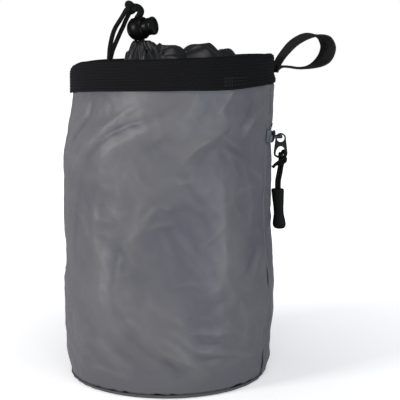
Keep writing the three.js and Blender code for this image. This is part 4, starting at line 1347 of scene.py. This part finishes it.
def make_slider():
    slider = soften(merged_copy("zip_slider", "zip_slider_body", ZIP_METAL), 0.3 * MM, 3)
    settle(slider, "bag", "zip_metal", "zip_slider")
    rails = bmesh.new()
    for out, up, deep, wide, tall in SLIDER_PARTS:
        part = bmesh.ops.create_cube(rails, size=1)["verts"]
        bmesh.ops.scale(rails, verts=part, vec=Vector((deep, wide, tall)) * MM)
        bmesh.ops.translate(rails, verts=part, vec=Vector((out, 0, up)) * MM)
    rails.transform(Matrix.Translation(RAILS_PLACE))
    rails = soften(object_of("zip_slider_rails", rails, ZIP_METAL), 0.3 * MM, 3)
    settle(rails, "bag", "zip_metal")
    tab = soften(merged_copy("pull_tab", "pull_tab_plate", ZIP_METAL), 0.28 * MM, 3, 40)
    settle(tab, "zip_pull", "zip_metal", "pull_tab")


PULL_STRAND = 1.0 * MM
# Strands of the pull cord, in millimetres from the middle of the slider's bridge
PULL_ROUTES = [
    [(-0.6, -0.3, -32.0), (-0.45, -0.3, -27.0), (0.45, -0.4, -21.9), (1.15, -0.6, -17.5),
     (2.2, -0.9, -14.5), (2.7, -1.1, -11.8), (2.6, -0.8, -9.7), (2.0, 0.3, -8.8), (1.2, 1.6, -9.8),
     (0.7, 2.0, -12.0), (0.4, 1.7, -15.0)],
    [(-2.3, 0.3, -32.0), (-2.15, 0.3, -27.0), (-1.25, 0.2, -21.9), (-0.55, 0.2, -17.5),
     (-0.3, 0.0, -14.0), (-0.4, -0.6, -11.8), (-0.4, 0.3, -10.5), (-0.3, 1.7, -11.2),
     (0.0, 2.2, -13.5), (0.2, 2.0, -16.0)],
    [(2.2, 1.8, -13.8), (3.1, 0.2, -14.4), (2.4, -2.1, -15.4), (0.2, -2.6, -16.4),
     (-1.6, -1.4, -16.8), (-1.8, 0.6, -16.9), (-0.4, 2.2, -16.6), (1.8, 2.0, -15.6),
     (3.2, 0.2, -13.9), (2.4, -2.3, -13.2), (0.3, -3.0, -14.2), (-1.9, -2.8, -15.8),
     (-3.6, -2.3, -17.4), (-4.8, -1.9, -18.7)],
]


def make_pull_cord():
    """The doubled cord: up from the grip, through the slot, knotted under the tab."""
    tubes = []
    for points in PULL_ROUTES:
        places = [SWING_PLACE + Vector(point) * MM for point in points]
        tubes.append(cord_tube(smooth_route(places, len(points) * 9), PULL_STRAND, 12))
    settle(joined_cords("pull_cord_strands", PULL_BRAID, tubes), "zip_pull", "cord", "pull_cord")


# Moulded grip: down is a share of its length, wide and thick are shares of its width.
GripRow = namedtuple("GripRow", "down wide thick")
GRIP_ROWS = [
    GripRow(0.0, 0.8, 0.62), GripRow(0.01, 0.93, 0.7), GripRow(0.03, 0.97, 0.74),
    GripRow(0.12, 0.95, 0.73), GripRow(0.3, 0.88, 0.68), GripRow(0.5, 0.79, 0.62),
    GripRow(0.64, 0.81, 0.62), GripRow(0.8, 0.98, 0.7), GripRow(0.88, 1.03, 0.72),
    GripRow(0.93, 0.97, 0.69), GripRow(0.97, 0.8, 0.57), GripRow(0.99, 0.58, 0.42),
    GripRow(1.0, 0.3, 0.22),
]
GRIP_WIDTH = 8.0 * MM
GRIP_SHIFT = -0.8 * MM
GRIP_LEAN = math.radians(-3.2)
GRIP_CORNER = 2 / 2.6
GRIP_RIB_PITCH = 1.9 * MM
GRIP_RIB_DEPTH = 0.16 * MM


def make_grip():
    low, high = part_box("pull_grip")
    top = Vector(((low.x + high.x) / 2 + GRIP_SHIFT, 0, high.z))
    length = high.z - low.z
    downs = [row.down for row in GRIP_ROWS]
    wides = smooth_line(downs, [row.wide * GRIP_WIDTH / 2 for row in GRIP_ROWS])
    thicks = smooth_line(downs, [row.thick * GRIP_WIDTH / 2 for row in GRIP_ROWS])

    def place(s, t):
        down = 1 - t
        cosine, sine = np.cos(s * TAU), np.sin(s * TAU)
        x = wides(down) * np.sign(cosine) * np.abs(cosine) ** GRIP_CORNER
        y = thicks(down) * np.sign(sine) * np.abs(sine) ** GRIP_CORNER
        ribbed = smooth_step(0.2, 0.26, down) - smooth_step(0.62, 0.7, down)
        ribs = np.maximum(0, np.sin(down * length / GRIP_RIB_PITCH * TAU))
        y = y - np.sign(y) * (GRIP_RIB_DEPTH * ribs * ribbed * (np.abs(sine) > 0.5))
        z = -down * length
        lean = x * math.cos(GRIP_LEAN) - z * math.sin(-GRIP_LEAN)
        return np.stack((top.x + lean, top.y + y, top.z + z), -1)

    bm = grid_piece(48, 90, place)
    fill_ends(bm)
    bmesh.ops.recalc_face_normals(bm, faces=bm.faces)
    settle(object_of("pull_grip_moulding", bm, GRIP_RUBBER), "zip_pull", "grip_rubber", "pull_grip")


make_zip()
make_slider()
make_pull_cord()
make_grip()


# Sewing

# The bar tack that closes the binding's ends: columns, rows and lines, in the photograph's pixels
# of the wall behind the band
BAR_TACK_COLUMNS = [221.3, 223.2, 225.2, 227.1, 229]
BAR_TACK_ROWS = [80.5, 84, 87.5]
BAR_TACK_LINES = [(231, 245, 80.5), (231, 245, 83.8), (231, 244, 87)]


def sew_pocket():
    """Rows along both edges of the zip, and down both sides of the pocket."""
    inset = 0.03
    start, end = POCKET_START + inset, POCKET_END - inset
    face = POCKET_FACE + 0.02 * MM
    below, above = ZIP_HEIGHT - ZIP_OPENING / 2, ZIP_HEIGHT + ZIP_OPENING / 2
    zip_turns = np.linspace(start, end, 40)
    rows = []
    for offset in (-ZIP_OPENING / 2 - 1.6 * MM, ZIP_OPENING / 2 + 1.6 * MM):
        rows += wall_stitches(zip_turns, zip_line(zip_turns) + offset, face)
    for turn in (start, end):
        for low, high in ((WALL_LOW + 4 * MM, below - 2 * MM), (above + 2 * MM, BAND_BOTTOM - 2 * MM)):
            rows += wall_stitches(np.full(40, turn), np.linspace(low, high, 40), face)
    settle(stitches("pocket_stitches", GREY_THREAD, rows), "bag", "body_cloth")


def sew_band():
    turns = np.linspace(-math.pi, math.pi, 120)
    heights = np.full(120, BAND_BOTTOM + 2.6 * MM)
    rows = wall_stitches(turns, heights, BAND_FACE - 0.05 * MM, pitch=3.0 * MM)
    settle(stitches("binding_stitches", BLACK_THREAD, rows), "bag", "webbing")


def sew_tacks():
    """The bar tack that closes the binding, and the short one above the zip's front end."""
    tack = []
    for u in BAR_TACK_COLUMNS:
        for v in BAR_TACK_ROWS:
            turn, height = wall_under_pixel(u, v)
            spot = on_wall(turn, np.array([height - 1.1 * MM, height + 1.1 * MM]), BAND_FACE + 0.1 * MM)
            tack.append((spot[0], spot[1], (spot[0][0], spot[0][1], 0)))
    for first, last, v in BAR_TACK_LINES:
        turns = [wall_under_pixel(u, v)[0] for u in np.linspace(first, last, 12)]
        tack += wall_stitches(turns, np.full(12, wall_under_pixel(first, v)[1]), BAND_FACE + 0.05 * MM,
                              pitch=1.6 * MM)
    settle(stitches("bar_tack", TACK_THREAD, tack, 0.16 * MM), "bag", "webbing")

    tack = []
    for above in (7.2, 8.0):
        turns = np.radians(np.linspace(-14, -3, 6))
        spots = cloth_face(turns, np.full(6, ZIP_HEIGHT + above * MM), POCKET_FACE + 0.3 * MM)
        tack += [(a, b, (a[0], a[1], 0)) for a, b in zip(spots, spots[1:])]
    settle(stitches("zip_end_tack", TACK_THREAD, tack, 0.32 * MM), "bag", "body_cloth")


sew_pocket()
sew_band()
sew_tacks()


# Floor and light

def make_stage():
    bm = bmesh.new()
    bmesh.ops.create_grid(bm, x_segments=1, y_segments=1, size=4)
    bmesh.ops.translate(bm, verts=bm.verts, vec=(0, 0, -0.1 * MM))
    material, tree, shader = new_material("pale_floor")
    shader.inputs["Base Color"].default_value = (0.92, 0.92, 0.92, 1)
    shader.inputs["Roughness"].default_value = 0.9
    spot = coordinates(tree, "Object")
    away = add_node(tree, "ShaderNodeVectorMath", {0: spot}, operation="LENGTH").outputs["Value"]
    glow = add_node(tree, "ShaderNodeMapRange", {0: away, 1: 0.08, 2: 0.5, 3: 0.45, 4: 1.0})
    seen = add_node(tree, "ShaderNodeLightPath").outputs["Is Camera Ray"]
    shown = calculate(tree, "MULTIPLY", glow.outputs[0], seen)
    tree.links.new(shown, shader.inputs["Emission Color"])
    shader.inputs["Emission Strength"].default_value = 1.0
    object_of("floor", bm, material)


ROOM_COLOUR = (0.85, 0.9, 1, 1)
ROOM_POWER = 0.24
Lamp = namedtuple("Lamp", "name place size power colour")
LAMPS = [
    Lamp("key_left", (-0.9, -0.62, 0.4), 0.3, 8.2, (1, 0.98, 0.95)),
    Lamp("soft_top", (0.1, -0.7, 1.0), 0.4, 2.2, (1, 0.98, 0.95)),
    Lamp("fill_right", (0.8, -0.9, 0.15), 0.4, 7.2, (0.88, 0.93, 1)),
    Lamp("edge_left", (-0.9, 0.45, 0.3), 0.5, 0.6, (0.8, 0.88, 1)),
]


def make_lamp(name, place, size, power, colour):
    data = bpy.data.lights.new(name, "AREA")
    data.size = size
    data.energy = power
    data.color = colour
    lamp = add_object(name, data)
    lamp.location = place
    lamp.rotation_euler = (Vector((0, 0, 0.1)) - Vector(place)).to_track_quat("-Z", "Y").to_euler()


def make_light():
    world = bpy.data.worlds.new("studio")
    world.use_nodes = True
    tree = world.node_tree
    room = tree.nodes["Background"]
    room.inputs[0].default_value = ROOM_COLOUR
    room.inputs[1].default_value = ROOM_POWER
    backdrop = add_node(tree, "ShaderNodeBackground", {0: (1, 1, 1, 1), 1: 1.0})
    seen = add_node(tree, "ShaderNodeLightPath").outputs["Is Camera Ray"]
    both = add_node(tree, "ShaderNodeMixShader", {0: seen})
    tree.links.new(room.outputs[0], both.inputs[1])
    tree.links.new(backdrop.outputs[0], both.inputs[2])
    tree.links.new(both.outputs[0], tree.nodes["World Output"].inputs[0])
    bpy.context.scene.world = world
    for lamp in LAMPS:
        make_lamp(*lamp)


make_stage()
make_light()
bpy.context.scene.view_settings.view_transform = "Standard"
